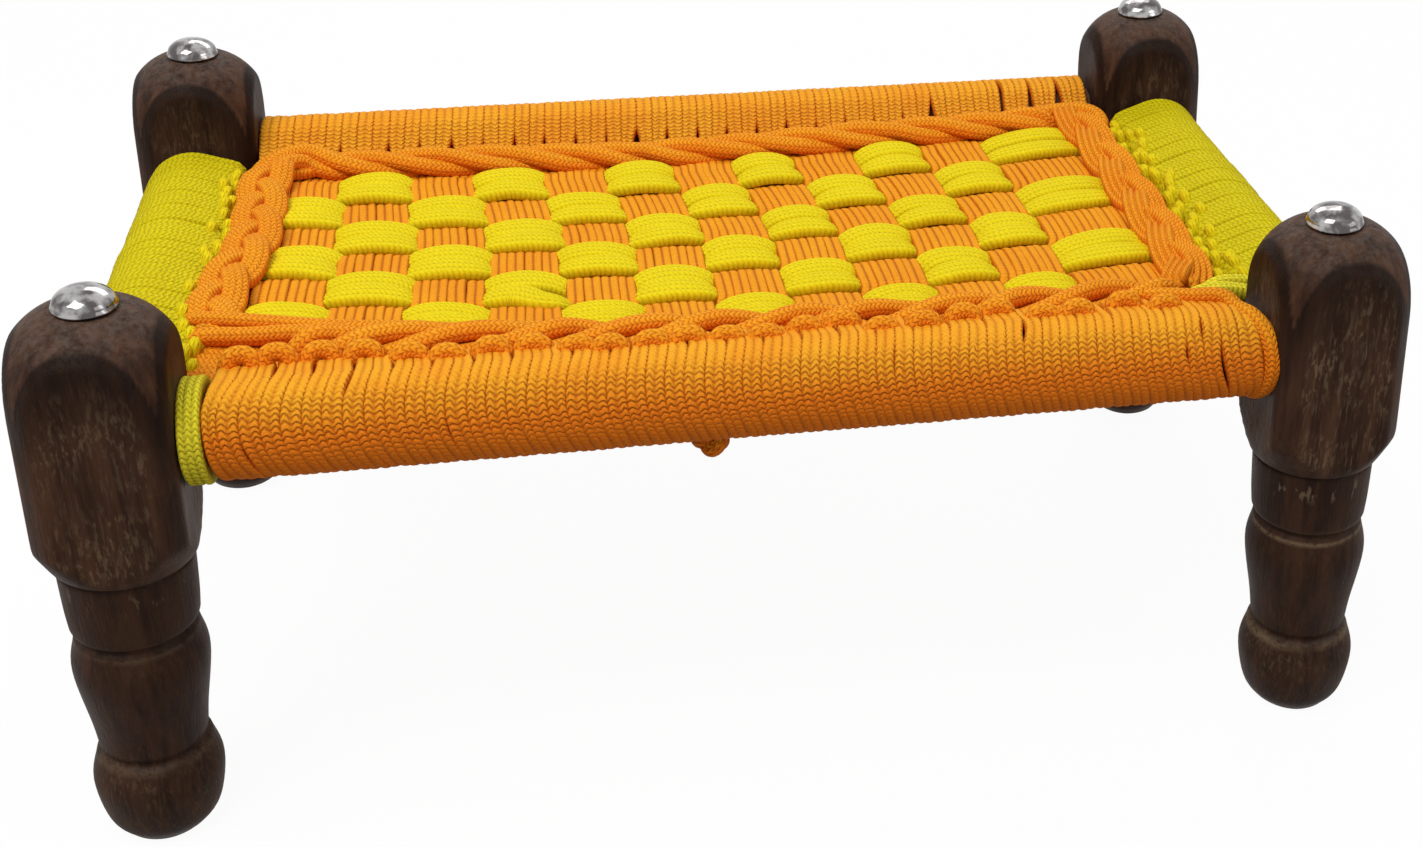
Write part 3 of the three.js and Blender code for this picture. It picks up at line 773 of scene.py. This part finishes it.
# %% Outline of one turn
def drop_outline(radius, tip, tip_radius, steps=50):
    tip = np.array(tip, float)
    distance = np.linalg.norm(tip)
    toward = math.atan2(tip[0], tip[1])
    spread = math.acos((radius - tip_radius) / distance)
    start, end = toward + spread, toward - spread + 2 * math.pi
    straight = math.sqrt(distance ** 2 - (radius - tip_radius) ** 2)
    legs = np.cumsum([radius * (end - start), straight, 2 * tip_radius * spread, straight])
    gone = np.arange(steps) / steps * legs[3]
    stretch = [gone < legs[0], gone < legs[1], gone < legs[2]]
    round_tip = end + (gone - legs[1]) / tip_radius
    angle = np.select(stretch, [start + gone / radius, end, round_tip], start + 2 * np.pi)
    outbound = (gone - legs[0]) / straight
    share = np.select(stretch, [0 * gone, outbound, 1 + 0 * gone], (legs[3] - gone) / straight)
    normal = np.column_stack([np.sin(angle), np.cos(angle)])
    place = normal * (radius * (1 - share) + tip_radius * share)[:, None] + tip * share[:, None]
    toward_tip = np.where(share > 0, share * straight, radius * (start - angle))
    return place, angle, share, toward_tip, (legs[1] + legs[2]) / 2 / legs[3]


print("turn outline ready")

# %% [markdown]
# The centre of the cord follows this outline again and again while it moves
# along the rail. The turns are never perfectly even: the border between two
# turns wanders and leans, and in some places it opens and the dark rail shows.
# The two turns beside a border both read it, so they move together. An opening
# is given as place, angle from the top, half of its span, and width. A pinch,
# where a tie parts two turns near the tip, is given as place, width, and how far
# along the turn it begins and is full. A fan draws the turns at an end of the
# rail toward its middle, on the net's side.

# %% Turns with uneven borders
def wander(count, amount):
    knots = chance.uniform(-amount, amount, count + 3)
    return lambda t: np.interp(t, np.arange(count + 3) - 1, knots)


LEAD, LEAD_RINGS = 9.0, 7
UNEVEN, LEAN_PHASE = 0.2, 0.87


def wound(along, outward, middle, outline, first, last, turns, openings, pinches, lean, fans=(), puff=0.1):
    places, angles, shares, slopes, tip_at = outline
    steps = len(angles)
    step = np.arange(int(turns * steps) + 1)
    tau, k = step / steps, step % steps
    number = step // steps
    spot, angle, share, slope = places[k], angles[k], shares[k], slopes[k]
    swing = (np.degrees(angle) + 180) % 360 - 180
    pitch = (last - first) / (turns + 1)
    uneven = wander(int(turns * 5) + 14, UNEVEN)
    swell = wander(int(turns * 3) + 8, puff)
    off_dowel = np.where(swing > -100, 0.7 + 0.3 * share, share)
    drawn = np.where(share > 0, off_dowel, 0.7 * np.clip((42 - swing) / 50, 0, 1))
    drawn = np.where((share == 0) & (swing < -60), 0, drawn)

    def border(t):
        inner = np.clip(np.minimum(t, turns + 1 - t), 0, 1)
        place = first + pitch * t + inner * (uneven(t * 5) + lean * np.cos(2 * angle + LEAN_PHASE))
        for end, reach, amount in fans:
            place = place + amount * drawn * np.exp(-abs(end - place) / reach)
        return place

    low, high = border(tau), border(tau + 1)
    for place, centre, span, gap in openings:
        at = np.argmin(abs(swing[:steps] - centre)) / steps
        which = round((place - first) / pitch - at)
        wide = np.clip(1 - ((swing - centre) / span) ** 2, 0, 1) * gap / 2
        low, high = low + wide * (number == which), high - wide * (number + 1 == which)
    level = number - (share == 0)
    for place, gap, begin, full in pinches:
        which = round((place - first) / pitch - tip_at)
        wide = np.clip((slope - begin) / (full - begin), 0, 1) * gap / 2
        low, high = low + wide * (level == which), high - wide * (level + 1 == which)
    normal = np.sin(angle)[:, None] * outward + np.cos(angle)[:, None] * UP
    heading = np.cos(angle)[:, None] * outward - np.sin(angle)[:, None] * UP
    centre = middle + along * ((low + high) / 2)[:, None] + spot[:, :1] * outward + spot[:, 1:] * UP
    centre = centre + normal * swell(tau * 3)[:, None]
    half = (high - low) / 2 * OVERLAP
    lead = np.arange(1, LEAD_RINGS + 1)[:, None] * LEAD / LEAD_RINGS
    path = np.vstack([centre[0] - heading[0] * lead[::-1], centre, centre[-1] + heading[-1] * lead])
    ups = np.vstack([np.repeat(normal[:1], LEAD_RINGS, 0), normal, np.repeat(normal[-1:], LEAD_RINGS, 0)])
    widths = np.r_[np.repeat(half[0], LEAD_RINGS), half, np.repeat(half[-1], LEAD_RINGS)]
    return tube(path, ups, widths, CORD_HALF_THICK, TWO_COLUMNS)


ALONG_X, ALONG_Y = np.array((1.0, 0, 0)), np.array((0, 1.0, 0))
FRONT_RAIL = np.array((0, -HALF_WIDE, LONG_RAIL_HEIGHT))
BACK_RAIL = np.array((0, HALF_WIDE, LONG_RAIL_HEIGHT))
front_outline = drop_outline(LONG_RAIL_RADIUS + CORD_MIDDLE, tip=(-7.6, 5.0), tip_radius=3.2)
back_outline = drop_outline(LONG_RAIL_RADIUS + CORD_MIDDLE, tip=(-12.5, -0.6), tip_radius=2.6)
end_outline = drop_outline(END_RAIL_RADIUS + CORD_MIDDLE, tip=(-9.5, 5.0), tip_radius=3.0)
turn_length = np.linalg.norm(np.diff(front_outline[0], axis=0), axis=1).sum()
print("a turn of the front rail takes", round(float(turn_length), 1), "mm")

# %% [markdown]
# Along the net's edge of the front rail small rounded arches of cord stand side
# by side. An arch rises beside one tie, passes over a turn or two and goes down
# again. It is the same round cord as the border's, so it has the rope's finish.

# %% Arches along the ties
def arch(along, outward, middle, left, right, out, height, radius):
    centre, span = (left + right) / 2, (right - left) / 2
    shape = [(-1.0, 1.2, -5.0), (-0.95, 0.8, -2.6), (-0.6, 0.2, -0.5), (0, 0, 0),
             (0.6, 0.2, -0.5), (0.95, 0.8, -2.6), (1.0, 1.2, -5.0)]
    points = [middle + along * (centre + a * span) + outward * (out + o) + UP * (height + z)
              for a, o, z in shape]
    path = smooth_path(points, 0.7)
    return tube(path, carried_up(path, outward * 0.6 + UP * 0.8), radius, radius * 0.85, ROUND)


def arches(along, outward, middle, row, reach, radius):
    spots = [place for place, _, _ in row]
    bounds = [spots[0] - reach] + [(a + b) / 2 for a, b in zip(spots, spots[1:])] + [spots[-1] + reach]
    made = []
    for (place, out, height), left, right in zip(row, bounds, bounds[1:]):
        left, right = max(left, place - reach), min(right, place + reach)
        rise = height + chance.uniform(-0.5, 0.4)
        made.append(arch(along, outward, middle, left, right, out, rise, radius))
    return made


print("arches ready")

# %% [markdown]
# The openings and arches of the long rails are listed one by one, as they
# were counted along the rails. The back rail shows its inner side, where a
# small dark gap stands beside every tie, and its right end has wide ones.
# A winding and its arches are one piece with two finishes.

# %% Long rails
LONG_TURNS = 54.5
FRONT_START, FRONT_END = -113.5, 116.6
BACK_START, BACK_END = -117.8, 117.6
ARCH_HEIGHT = 11.3


def wound_piece(name, cord, bumps, node, cord_finish, bump_finish):
    piece = cord_mesh("wound_cord_" + name, [cord] + bumps)
    finish_piece(piece, node, cord_finish)
    cord_faces = (len(cord[0]) - 1) * len(TWO_COLUMNS[0]) + 2
    bump_faces = len(piece.data.polygons) - cord_faces
    piece.data.materials.append(bump_finish)
    piece.data.polygons.foreach_set("material_index", [0] * cord_faces + [1] * bump_faces)


front_row = [(-107, -10.5), (-99.5, -10.8), (-90.5, -11.6), (-81.5, -10.2), (-71.8, -7.6), (-64, -6.4),
             (-54.6, -7.8), (-45.8, -7.9), (-36.5, -5.7), (-29.5, -4.2), (-20.5, -4.8), (-12.5, -5.6),
             (-4, -5.2), (4.5, -4.6), (13.5, -7.3), (22.2, -8.3), (30.3, -4.2), (39.8, -4.2), (49.2, -6.5),
             (57.4, -8.5), (67.4, -4.4), (75.2, -4.4), (87, -7.2), (96, -4.6)]
front_openings = [(-86, 15, 22, 0.9), (60, 12, 24, 1.1), (97, 62, 14, 0.9), (101.5, 32, 18, 0.9),
                  (109, 88, 42, 1.3), (-63.5, 90, 25, 0.5), (-105, 100, 25, 0.9), (33, 40, 20, 0.4)]
front_pinches = [((a[0] + b[0]) / 2, 1.0, -3.0, 3.5) for a, b in zip(front_row, front_row[1:])]
front_cord = wound(ALONG_X, -ALONG_Y, FRONT_RAIL, front_outline, FRONT_START, FRONT_END, LONG_TURNS,
                   front_openings, front_pinches, lean=1.4, fans=[(-113, 10, 3.0), (FRONT_END, 12, -3.0)])
front_arches = arches(ALONG_X, -ALONG_Y, FRONT_RAIL, [(x, out, ARCH_HEIGHT) for x, out in front_row],
                      reach=3.0, radius=2.15)

back_ties = [(-104, 1.0), (-95.5, 0.7), (-85.5, 1.0), (-76.5, 0.8), (-67, 1.4), (-59, 0.4), (-50.5, 0.9),
             (-42, 0.9), (-33.5, 0.8), (-25, 0.4), (-16.5, 1.7), (-8.5, 0.8), (0, 0.8), (7.5, 0.8),
             (16.5, 0.8), (25, 1.2), (33, 0.6), (41.5, 0.8), (50.5, 0.6), (58, 1.0)]
back_pinches = [(x, gap + 0.3, chance.uniform(2.6, 4.0), 7.0) for x, gap in back_ties]
back_pinches += [(68, 2.8, -2.0, 7.0), (87.7, 1.4, -9.0, -6.0), (96.7, 2.4, -9.0, 6.0),
                 (106.2, 3.4, -8.0, 6.0)]
back_cord = wound(ALONG_X, ALONG_Y, BACK_RAIL, back_outline, BACK_START, BACK_END, LONG_TURNS,
                  (), back_pinches, lean=0.5)

wound_piece("front", front_cord, front_arches, "winding_front", orange_wound, orange_rope)
cord_piece("wound_cord_back", [back_cord], "winding_back", orange_wound)
print("front rail:", round(front_cord[1][-1] * STITCH / 1000, 2), "m of cord,", len(front_arches), "arches")

# %% [markdown]
# The end rails are thicker and wound in yellow. Their cord lies closer, with
# hardly a gap, and its arches toward the net are small, uneven knobs. The
# further in a knob lies, the lower it stands.

# %% End rails
END_TURNS, END_REACH = 26.5, 58.0
KNOB_HEIGHT, KNOB_SLOPE = 9.9, 0.45


def end_rail(side, name, row, ties):
    middle = np.array((side * HALF_LONG, 0, END_RAIL_HEIGHT))
    cord = wound(ALONG_Y, side * ALONG_X, middle, end_outline, -END_REACH, END_REACH, END_TURNS,
                 (), ties, lean=0.5, puff=0.3)
    bumps = arches(ALONG_Y, side * ALONG_X, middle, row, reach=2.4, radius=1.6)
    # The turns take the darker yellow copy, painted shade, and the knobs take the net's lighter yellow,
    # painted light against the shade of their crevices.
    wound_piece(name, cord, bumps, "winding_" + name, yellow_wound_shaded, yellow)


def knobs(first, count):
    row = []
    for y in first + np.cumsum(chance.uniform(1.9, 3.7, count)):
        out = chance.uniform(-16.5, -10.2)
        row.append((y, out, KNOB_HEIGHT + (out + 10.6) * KNOB_SLOPE + chance.uniform(-0.4, 0.3)))
    return row


left_row = [(-56.5, -12.0, 9.0), (-54.5, -15.0, 6.8)] + knobs(-54, 37)
right_row = knobs(-53, 37)
left_creases = [(y, gap, -5.0, 6.0) for y, gap in ((14.8, 1.1), (-32.5, 1.1), (33, 0.5), (-8, 0.4))]
right_creases = [(y, 0.9, chance.uniform(-6, -1), 6.0) for y in (47, 37, 27, 16.5, 6, -4, -13, -23, -33, -43)]
end_rail(-1, "left", left_row, left_creases)
end_rail(1, "right", right_row, right_creases)
print("end rails wound")

# %% [markdown]
# ## The net
# Twelve orange bands run from front to back, each four cords wide, the last
# one six. Six yellow rows cross them, two broad cords each. Over a cell a
# yellow row bulges up in an arch; the orange cords lie lower, flat and ribbed.
# One function gives the rise of a strip over and under the cells.

# %% Over and under
def weave_rise(place, edges, over_first, over, arch, under):
    place = np.asarray(place, float)
    cell = np.clip(np.searchsorted(edges, place) - 1, 0, len(edges) - 2)
    s = np.clip(2 * (place - edges[cell]) / (edges[cell + 1] - edges[cell]) - 1, -1, 1)
    on_top = (cell % 2 == 0) == over_first
    rise = np.where(on_top, over * (1 - abs(s) ** 7) + arch * (1 - s ** 2), -under * (1 - abs(s) ** 6))
    outside = (place < edges[0]) | (place > edges[-1])
    return np.where(outside, 0, rise), np.where(outside, 1, abs(s)), on_top & ~outside


NET_LIFT, NET_STEP = 0.7, 0.9


def net_point(x, y, z):
    place = drawn_place(x, y)
    along = np.broadcast_to(drawn_along(x, y), np.shape(place))
    return np.column_stack([along, place, z + NET_LIFT - dip(x, place)])


print("weave ready")

# %% [markdown]
# The orange cords of one band lie side by side and crown the band slightly:
# its outer cords sit a little lower than its middle ones.

# %% Twelve orange bands
BAND_RISE, BAND_REACH = 1.35, 60.5


def band_cords(index):
    low, high = column_edges[index], column_edges[index + 1]
    cords = 6 if index == 11 else 4
    width = (high - low) / cords
    y = np.arange(-BAND_REACH, BAND_REACH + 0.1, NET_STEP)
    rise, _, _ = weave_rise(y, row_edges, index % 2 == 1, over=BAND_RISE, arch=0.35, under=1.9)
    crowd = 1 - 0.08 * np.clip(rise / BAND_RISE, 0, 1)
    ends = np.clip((abs(y) - 47) / 12, 0, 1) * 1.8
    tubes = []
    for c in range(cords):
        x = low + width * (c + 0.5) + chance.uniform(-0.12, 0.12)
        crown_drop = 0.55 * ((2 * (c + 0.5) / cords - 1) ** 2)
        jitter = wander(20, 0.08)
        sway = wander(16, 0.14)
        xs = (low + high) / 2 + (x - (low + high) / 2 + sway((y + 62) / 10)) * crowd
        path = net_point(xs, y, NET_HEIGHT + rise - crown_drop - ends + jitter((y + 62) / 8))
        tubes.append(tube(path, UP, width / 2 * OVERLAP * crowd, 1.6, TWO_COLUMNS))
    return tubes


for index in range(12):
    number = str(index + 1)
    cord_piece("net_band_" + number, band_cords(index), "band_" + number, orange_band)
print("bands strung")

# %% [markdown]
# The yellow cords draw in where they dive under the orange, which gives every
# cell its pillow shape. The first row is a little narrower than the others, and
# in the second one cord has slipped out of line, as it has on the real seat.

# %% Six yellow rows
ROW_REACH = 120.5


def row_cords(index):
    narrower = 2.4 if index == 0 else 0
    low, high = row_edges[index], row_edges[index + 1] - narrower
    middle, pitch = (low + high) / 2, (high - low) * 0.97
    x = np.arange(-ROW_REACH, ROW_REACH + 0.1, NET_STEP)
    side = np.where((np.arange(1, 12) % 2 == 0) == (index % 2 == 0), -1, 1)
    spread = 0.1 + 1.0 * np.clip((10 - column_edges[1:-1]) / 50, 0, 1)
    cells = column_edges + np.r_[0, side * spread, 0]
    rise, s, on_top = weave_rise(x, cells, index % 2 == 0, over=1.3, arch=1.9, under=1.6)
    hidden = np.where(abs(x) > 113, 0.97, 0.74)
    full = np.where(on_top, 1 - 0.26 * s ** 3, hidden)
    swell = wander(40, 0.10)
    tubes = []
    for c in (-1, 1):
        wobble, lift = wander(30, 0.22), wander(30, 0.3)
        half = pitch / 4 * 1.13 * full * (1 + swell((x + 122) / 8))
        y = middle + c * pitch / 4 * full + wobble((x + 122) / 10) * on_top
        if index == 1 and c == -1:
            slip = np.exp(-((x + 43) / 7.5) ** 4)
            y = y - 3.6 * slip
            half = half * (1 - 0.25 * slip)
        path = net_point(x, y, NET_HEIGHT + rise + lift((x + 122) / 10) * on_top)
        tubes.append(tube(path, UP, half, 1.9, FOUR_COLUMNS))
    return tubes


for index in range(6):
    number = str(index + 1)
    cord_piece("net_row_" + number, row_cords(index), "row_" + number, yellow)
print("rows woven")

# %% [markdown]
# ## The borders
# Front and back, the net is bound by a thick lay of three round cords that
# twist about each other. A strand's centre goes round the rope's axis as the
# axis goes on, and the whole is a little flat, as it lies on the net.

# %% Twisted border
START_ANGLE = math.radians(-20)
TUCK = 6.0


def twisted(axis, pitch, strands, spread_side, spread_up, radius, phase, hand):
    gone = length_along(axis)
    side, up = across_path(axis, UP)
    ends = np.minimum(gone, gone[-1] - gone)
    sink = TUCK * np.clip(1 - ends / 7.0, 0, 1) ** 2
    tubes = []
    for k in range(strands):
        uneven = wander(int(gone[-1] / 9) + 4, 0.28)
        angle = phase + hand * 2 * np.pi * gone / pitch + 2 * np.pi * k / strands + uneven(gone / 9)
        swell = wander(int(gone[-1] / 12) + 4, 0.25)
        sway = side * (spread_side * np.cos(angle))[:, None]
        path = axis + sway + up * (spread_up * np.sin(angle) - sink)[:, None]
        width = radius + swell(gone / 12) * 0.5
        tubes.append(tube(path, carried_up(path), width, width * 0.9, ROUND))
    return tubes


def lay_border(side, tubes):
    cord_piece("border_cord_" + side, tubes, "border_" + side, orange_rope)
    print(side, "border:", len(tubes), "cords")


def border_axis(points):
    path = smooth_path(points, 1.1)
    path[:, 2] -= dip(path[:, 0], path[:, 1])
    return path


FRONT_BORDER, FRONT_PITCH = -56.4, 53.0


def front_point(x):
    return x, float(drawn_place(x, FRONT_BORDER)), ROPE_HEIGHT + 1.2 - 0.7 * float(front_bow(x))


front_axis = border_axis([front_point(x) for x in np.linspace(-99, 104, 12)])
front_rope = twisted(front_axis, FRONT_PITCH, strands=3, spread_side=3.2, spread_up=2.6, radius=2.6,
                     phase=START_ANGLE - 2 * math.pi * 22 / FRONT_PITCH, hand=1.0)
print("front border:", round(float(length_along(front_axis)[-1])), "mm long")

# %% [markdown]
# Some strands leave the rope. In the front left corner two of them come from
# the left border and run along the net's edge, over a hollow; at the front
# right corner one climbs on to the rail and becomes its last turn.

# %% Loose strands at the front
def strand(points, radius):
    path = smooth_path(points, 1.0)
    return tube(path, carried_up(path), radius, radius * 0.92, ROUND)


edge_strand = [(-121, -33, 104), (-120, -37, 108.5), (-113, -40.5, 109.8), (-101, -43, 109.2),
               (-88, -46, 108.8), (-76, -47.5, 108.4), (-62, -49.2, 107.6), (-48, -50, 107.2),
               (-34, -51.2, 106.4), (-22, -53, 103)]
short_strand = [(-120, -40, 103), (-118, -43.5, 107.5), (-108, -45.5, 108.0), (-96, -47.2, 108.6),
                (-84, -50.0, 108.2), (-72, -53, 104.5)]
front_rope += [strand(edge_strand, 2.1), strand(short_strand, 2.4)]

CORNER_REACH = 9.9
corner = [(90, -58, 107), (95, -62.3, 110.6), (103.6, -66.0, 111.8), (110.0, -68.5, 112.6)]
corner_turn = ((-10, 112.4), (12, 114.4), (35, 116.2), (60, 117.4), (90, 117.9), (120, 117.5),
               (150, 116.5), (180, 115.5))
for angle, x in corner_turn:
    a = math.radians(angle)
    corner.append((x, -HALF_WIDE - CORNER_REACH * math.sin(a), LONG_RAIL_HEIGHT + CORNER_REACH * math.cos(a)))
corner_path = smooth_path(corner, 1.0)
off_rail = corner_path - FRONT_RAIL * (0, 1, 1) - corner_path * (1, 0, 0)
front_rope.append(tube(corner_path, unit(off_rail + (0, 0, 2.0)), 2.3, 2.0, ROUND))

hollow = smooth_path([(-123, -52, 105.2), (-112, -53, 104.2), (-98, -54, 104.2), (-84, -57, 104),
                      (-58, -61, 103.6)], 1.5)
narrowing = np.linspace(12.0, 3.5, len(hollow))
front_rope.append(tube(hollow, UP, narrowing, 1.6, tape_section(10)))
lay_border("front", front_rope)

# %% [markdown]
# The back border lies the same way with the opposite hand. At its right end
# one strand curls round the corner and tucks itself in.

# %% Back border
BACK_BORDER, BACK_PITCH = 52.4, 50.5


def back_point(x):
    sag = 1.5 * math.exp(-((x + 10) / 35) ** 2)
    return x, float(drawn_place(x, BACK_BORDER)), ROPE_HEIGHT - 0.7 - sag


round_the_corner = [(-113.0, 40, ROPE_HEIGHT - 1.0), (-111.0, 48.5, ROPE_HEIGHT + 0.6),
                    (-105.0, 54.4, ROPE_HEIGHT + 0.4)]
back_axis = border_axis(round_the_corner + [back_point(x) for x in np.linspace(-95, 104, 11)])
back_rope = twisted(back_axis, BACK_PITCH, strands=3, spread_side=2.6, spread_up=1.9, radius=2.45,
                    phase=START_ANGLE + 2 * math.pi * 36.5 / BACK_PITCH, hand=-1.0)
curl = [(84, 57.5, 103.5), (93, 59, 106.4), (103, 59.6, 108), (111, 58.5, 108.6), (115.3, 55, 108.2),
        (115.5, 50, 106.8), (112, 46.5, 104.6)]
back_rope.append(strand(curl, 2.5))
lay_border("back", back_rope)

# %% [markdown]
# The left border is a loose plait of three domed cords that comes round the
# back corner from the back border. A plait differs from a twist in that each
# cord swings from side to side in a figure of eight: sideways once while it
# rises and falls twice.

# %% Left border
def plaited(axis, pitch, phase, swing, lift, half_width, half_thick, section):
    gone = length_along(axis)
    side, up = across_path(axis, UP)
    tubes = []
    for k in range(3):
        t = 2 * np.pi * (gone / pitch + k / 3) + phase
        path = axis + side * (swing * np.sin(t))[:, None] + up * (lift * np.sin(2 * t))[:, None]
        roll = up + side * (0.35 * np.sin(t))[:, None]
        tubes.append(tube(path, unit(roll), half_width, half_thick, section))
    return tubes


left_axis = border_axis([(-103, 56.5, 106), (-108.8, 53, 108), (-112.3, 46.5, 109.2), (-113.5, 38, 109.4),
                         (-113, 22, 109.2), (-112.8, 4, 109.2), (-114.6, -10, 109.2), (-116.6, -20, 109),
                         (-117, -31, 108.6), (-115.5, -42, 107)])
left_rope = plaited(left_axis, pitch=50.0, phase=-2.0, swing=3.7, lift=1.3, half_width=3.1, half_thick=2.0,
                    section=tape_section(4, 0.9, 4, dome=0.55))
lay_border("left", left_rope)

# %% [markdown]
# The right border is a neater plait of three ribbed tapes.

# %% Right border
right_axis = border_axis([(108.5, 57, 108), (109.2, 45, 108.6), (110, 30, 108.4), (110.4, 10, 108.2),
                          (110.6, -10, 108.2), (110.4, -30, 108.2), (109.6, -44, 108.4), (107, -53, 108)])
right_plait = plaited(right_axis, pitch=64.0, phase=-1.33, swing=3.1, lift=1.3, half_width=3.3,
                      half_thick=1.8, section=tape_section(4, 0.45, 4))
lay_border("right", right_plait)

# %% [markdown]
# ## Odd ends
# Beside the front left leg one turn of the front rail is yellow: a single
# broad cord. Two yellow tapes come from the right end rail to the corner of the
# net. Under the middle of the front rail a small knot ties off the tail.

# %% Yellow turn, corner tapes and knot
def knot(centre, size, radius, turn_by, flat):
    t = np.linspace(0, 2 * np.pi, 90)
    raw = np.column_stack([np.sin(t) + 2 * np.sin(2 * t), np.cos(t) - 2 * np.cos(2 * t),
                           -np.sin(3 * t) * 1.3])
    cos, sin = math.cos(turn_by), math.sin(turn_by)
    spin = np.array([[cos, -sin, 0], [sin, cos, 0], [0, 0, 1]])
    path = (raw * (1, 1, flat)) @ spin.T * size / 3 + np.array(centre)
    return tube(path, carried_up(path), radius, radius, ROUND)


angles = np.radians(np.arange(-62, 244, 6.0))
spokes = np.column_stack([np.zeros(len(angles)), -np.sin(angles), np.cos(angles)])
turn_middle = FRONT_RAIL + (-115.7, 0, 0)
turn_path = turn_middle + spokes * (LONG_RAIL_RADIUS + 2.1)
accent = [tube(turn_path, spokes, 2.45, 2.0, tape_section(3))]
front_tape = [(104, -57.5, 105.0), (108, -57.5, 107.6), (113, -57.6, 108.6), (119, -58, 108.0),
              (124, -58.5, 106.5)]
back_tape = [(110, -53.6, 105.0), (114, -54.0, 108.2), (118, -54.4, 108.8), (124, -55, 108.2)]
accent.append(tube(smooth_path(front_tape, 1.5), UP, 1.8, 1.6, TWO_COLUMNS))
accent.append(tube(smooth_path(back_tape, 1.5), UP, 1.5, 1.5, TWO_COLUMNS))
# The yellow turn and tapes carry the brighter yellow copy, painted light.
cord_piece("yellow_turn_painted_light", accent, "winding_accent", yellow_turn_painted_light)
tail = knot((-8.6, -HALF_WIDE - 0.6, 89.2), size=2.8, radius=1.9, turn_by=0.3, flat=0.8)
cord_piece("tail_knot", [tail], "cord_knot", orange_wound)
print("odd ends tied")

# %% [markdown]
# ## Floor and light
# The object stands on a plain pale floor under soft studio light: one broad
# lamp above and to the left, two weaker ones behind and on the right, and a
# pale sky. The white background comes from the floor's and the sky's own colour
# as the camera sees them, and not from more light.

# %% Floor
deselect_all()
bpy.ops.mesh.primitive_plane_add(size=8.0, location=(0, 0, -0.0002))
floor = bpy.context.object
floor.name = "floor"
paper, tree, shader = new_material("floor_paper")
mottle = noise(tree, object_place(tree), 30.0, 3.0)
rays = put(tree, "ShaderNodeLightPath").outputs
paper_white = mix_colour(tree, mottle, (0.86, 0.86, 0.86, 1), (0.90, 0.90, 0.90, 1))
paper_colour = mix_colour(tree, rays["Is Camera Ray"], (0.24, 0.23, 0.22, 1), paper_white)
fill(tree, shader, {"Base Color": paper_colour, "Roughness": 0.9})
mirrored = math_node(tree, "MAXIMUM", rays["Is Glossy Ray"], rays["Is Transmission Ray"])
seen_share = times(tree, math_node(tree, "MAXIMUM", rays["Is Camera Ray"], mirrored), 0.95)
glow = put(tree, "ShaderNodeEmission", {"Color": (1, 1, 1, 1), "Strength": 1.0})
both = put(tree, "ShaderNodeMixShader", {0: seen_share, 1: shader.outputs[0], 2: glow.outputs[0]})
tree.links.new(both.outputs[0], tree.nodes["Material Output"].inputs[0])
floor.data.materials.append(paper)
print("floor laid")

# %% [markdown]
# The lamps are large, so that they give soft edges and broad highlights. The
# sky lights the object with a pale grey dome, and only where the camera looks
# past the object, or metal mirrors it, does it turn white.

# %% Lamps and sky
def lamp(name, place, target, size, power):
    data = bpy.data.lights.new(name, "AREA")
    data.shape, data.size, data.size_y = "RECTANGLE", size[0], size[1]
    data.energy = power
    holder = bpy.data.objects.new(name, data)
    bpy.context.scene.collection.objects.link(holder)
    holder.location = place
    aim = Vector(target) - Vector(place)
    holder.rotation_euler = aim.to_track_quat("-Z", "Y").to_euler()


lamp("key_lamp", place=(-0.45, -0.45, 1.25), target=(0, 0, 0.1), size=(0.8, 0.7), power=13.6)
lamp("back_lamp", place=(0.2, 0.95, 0.95), target=(0, 0, 0.1), size=(1.0, 0.4), power=5.0)
lamp("side_lamp", place=(1.1, -0.7, 0.6), target=(0, 0, 0.08), size=(0.7, 0.7), power=3.4)
world = bpy.data.worlds.new("studio")
bpy.context.scene.world = world
world.use_nodes = True
tree = world.node_tree
tree.nodes.clear()
rays = put(tree, "ShaderNodeLightPath").outputs
sky_place = put(tree, "ShaderNodeTexCoord").outputs["Generated"]
above = put(tree, "ShaderNodeSeparateXYZ", {0: sky_place}).outputs["Z"]
dome = mix_colour(tree, ramp(tree, above, 0.35, 0.95), (0.72, 0.71, 0.70, 1), (0.46, 0.46, 0.48, 1))
sky = put(tree, "ShaderNodeBackground", {"Color": dome, "Strength": 0.5})
backdrop = put(tree, "ShaderNodeBackground", {"Color": (1, 1, 1, 1), "Strength": 1.0})
mirrored = math_node(tree, "MAXIMUM", rays["Is Glossy Ray"], rays["Is Transmission Ray"])
seen = math_node(tree, "MAXIMUM", rays["Is Camera Ray"], mirrored)
both = put(tree, "ShaderNodeMixShader", {0: seen, 1: sky.outputs[0], 2: backdrop.outputs[0]})
put(tree, "ShaderNodeOutputWorld", {0: both.outputs[0]})

# %% [markdown]
# ## Finish
# The dressed object must keep the size of the measured one. At the end the
# scene is brought up to date.

# %% Finish
bpy.context.view_layer.update()
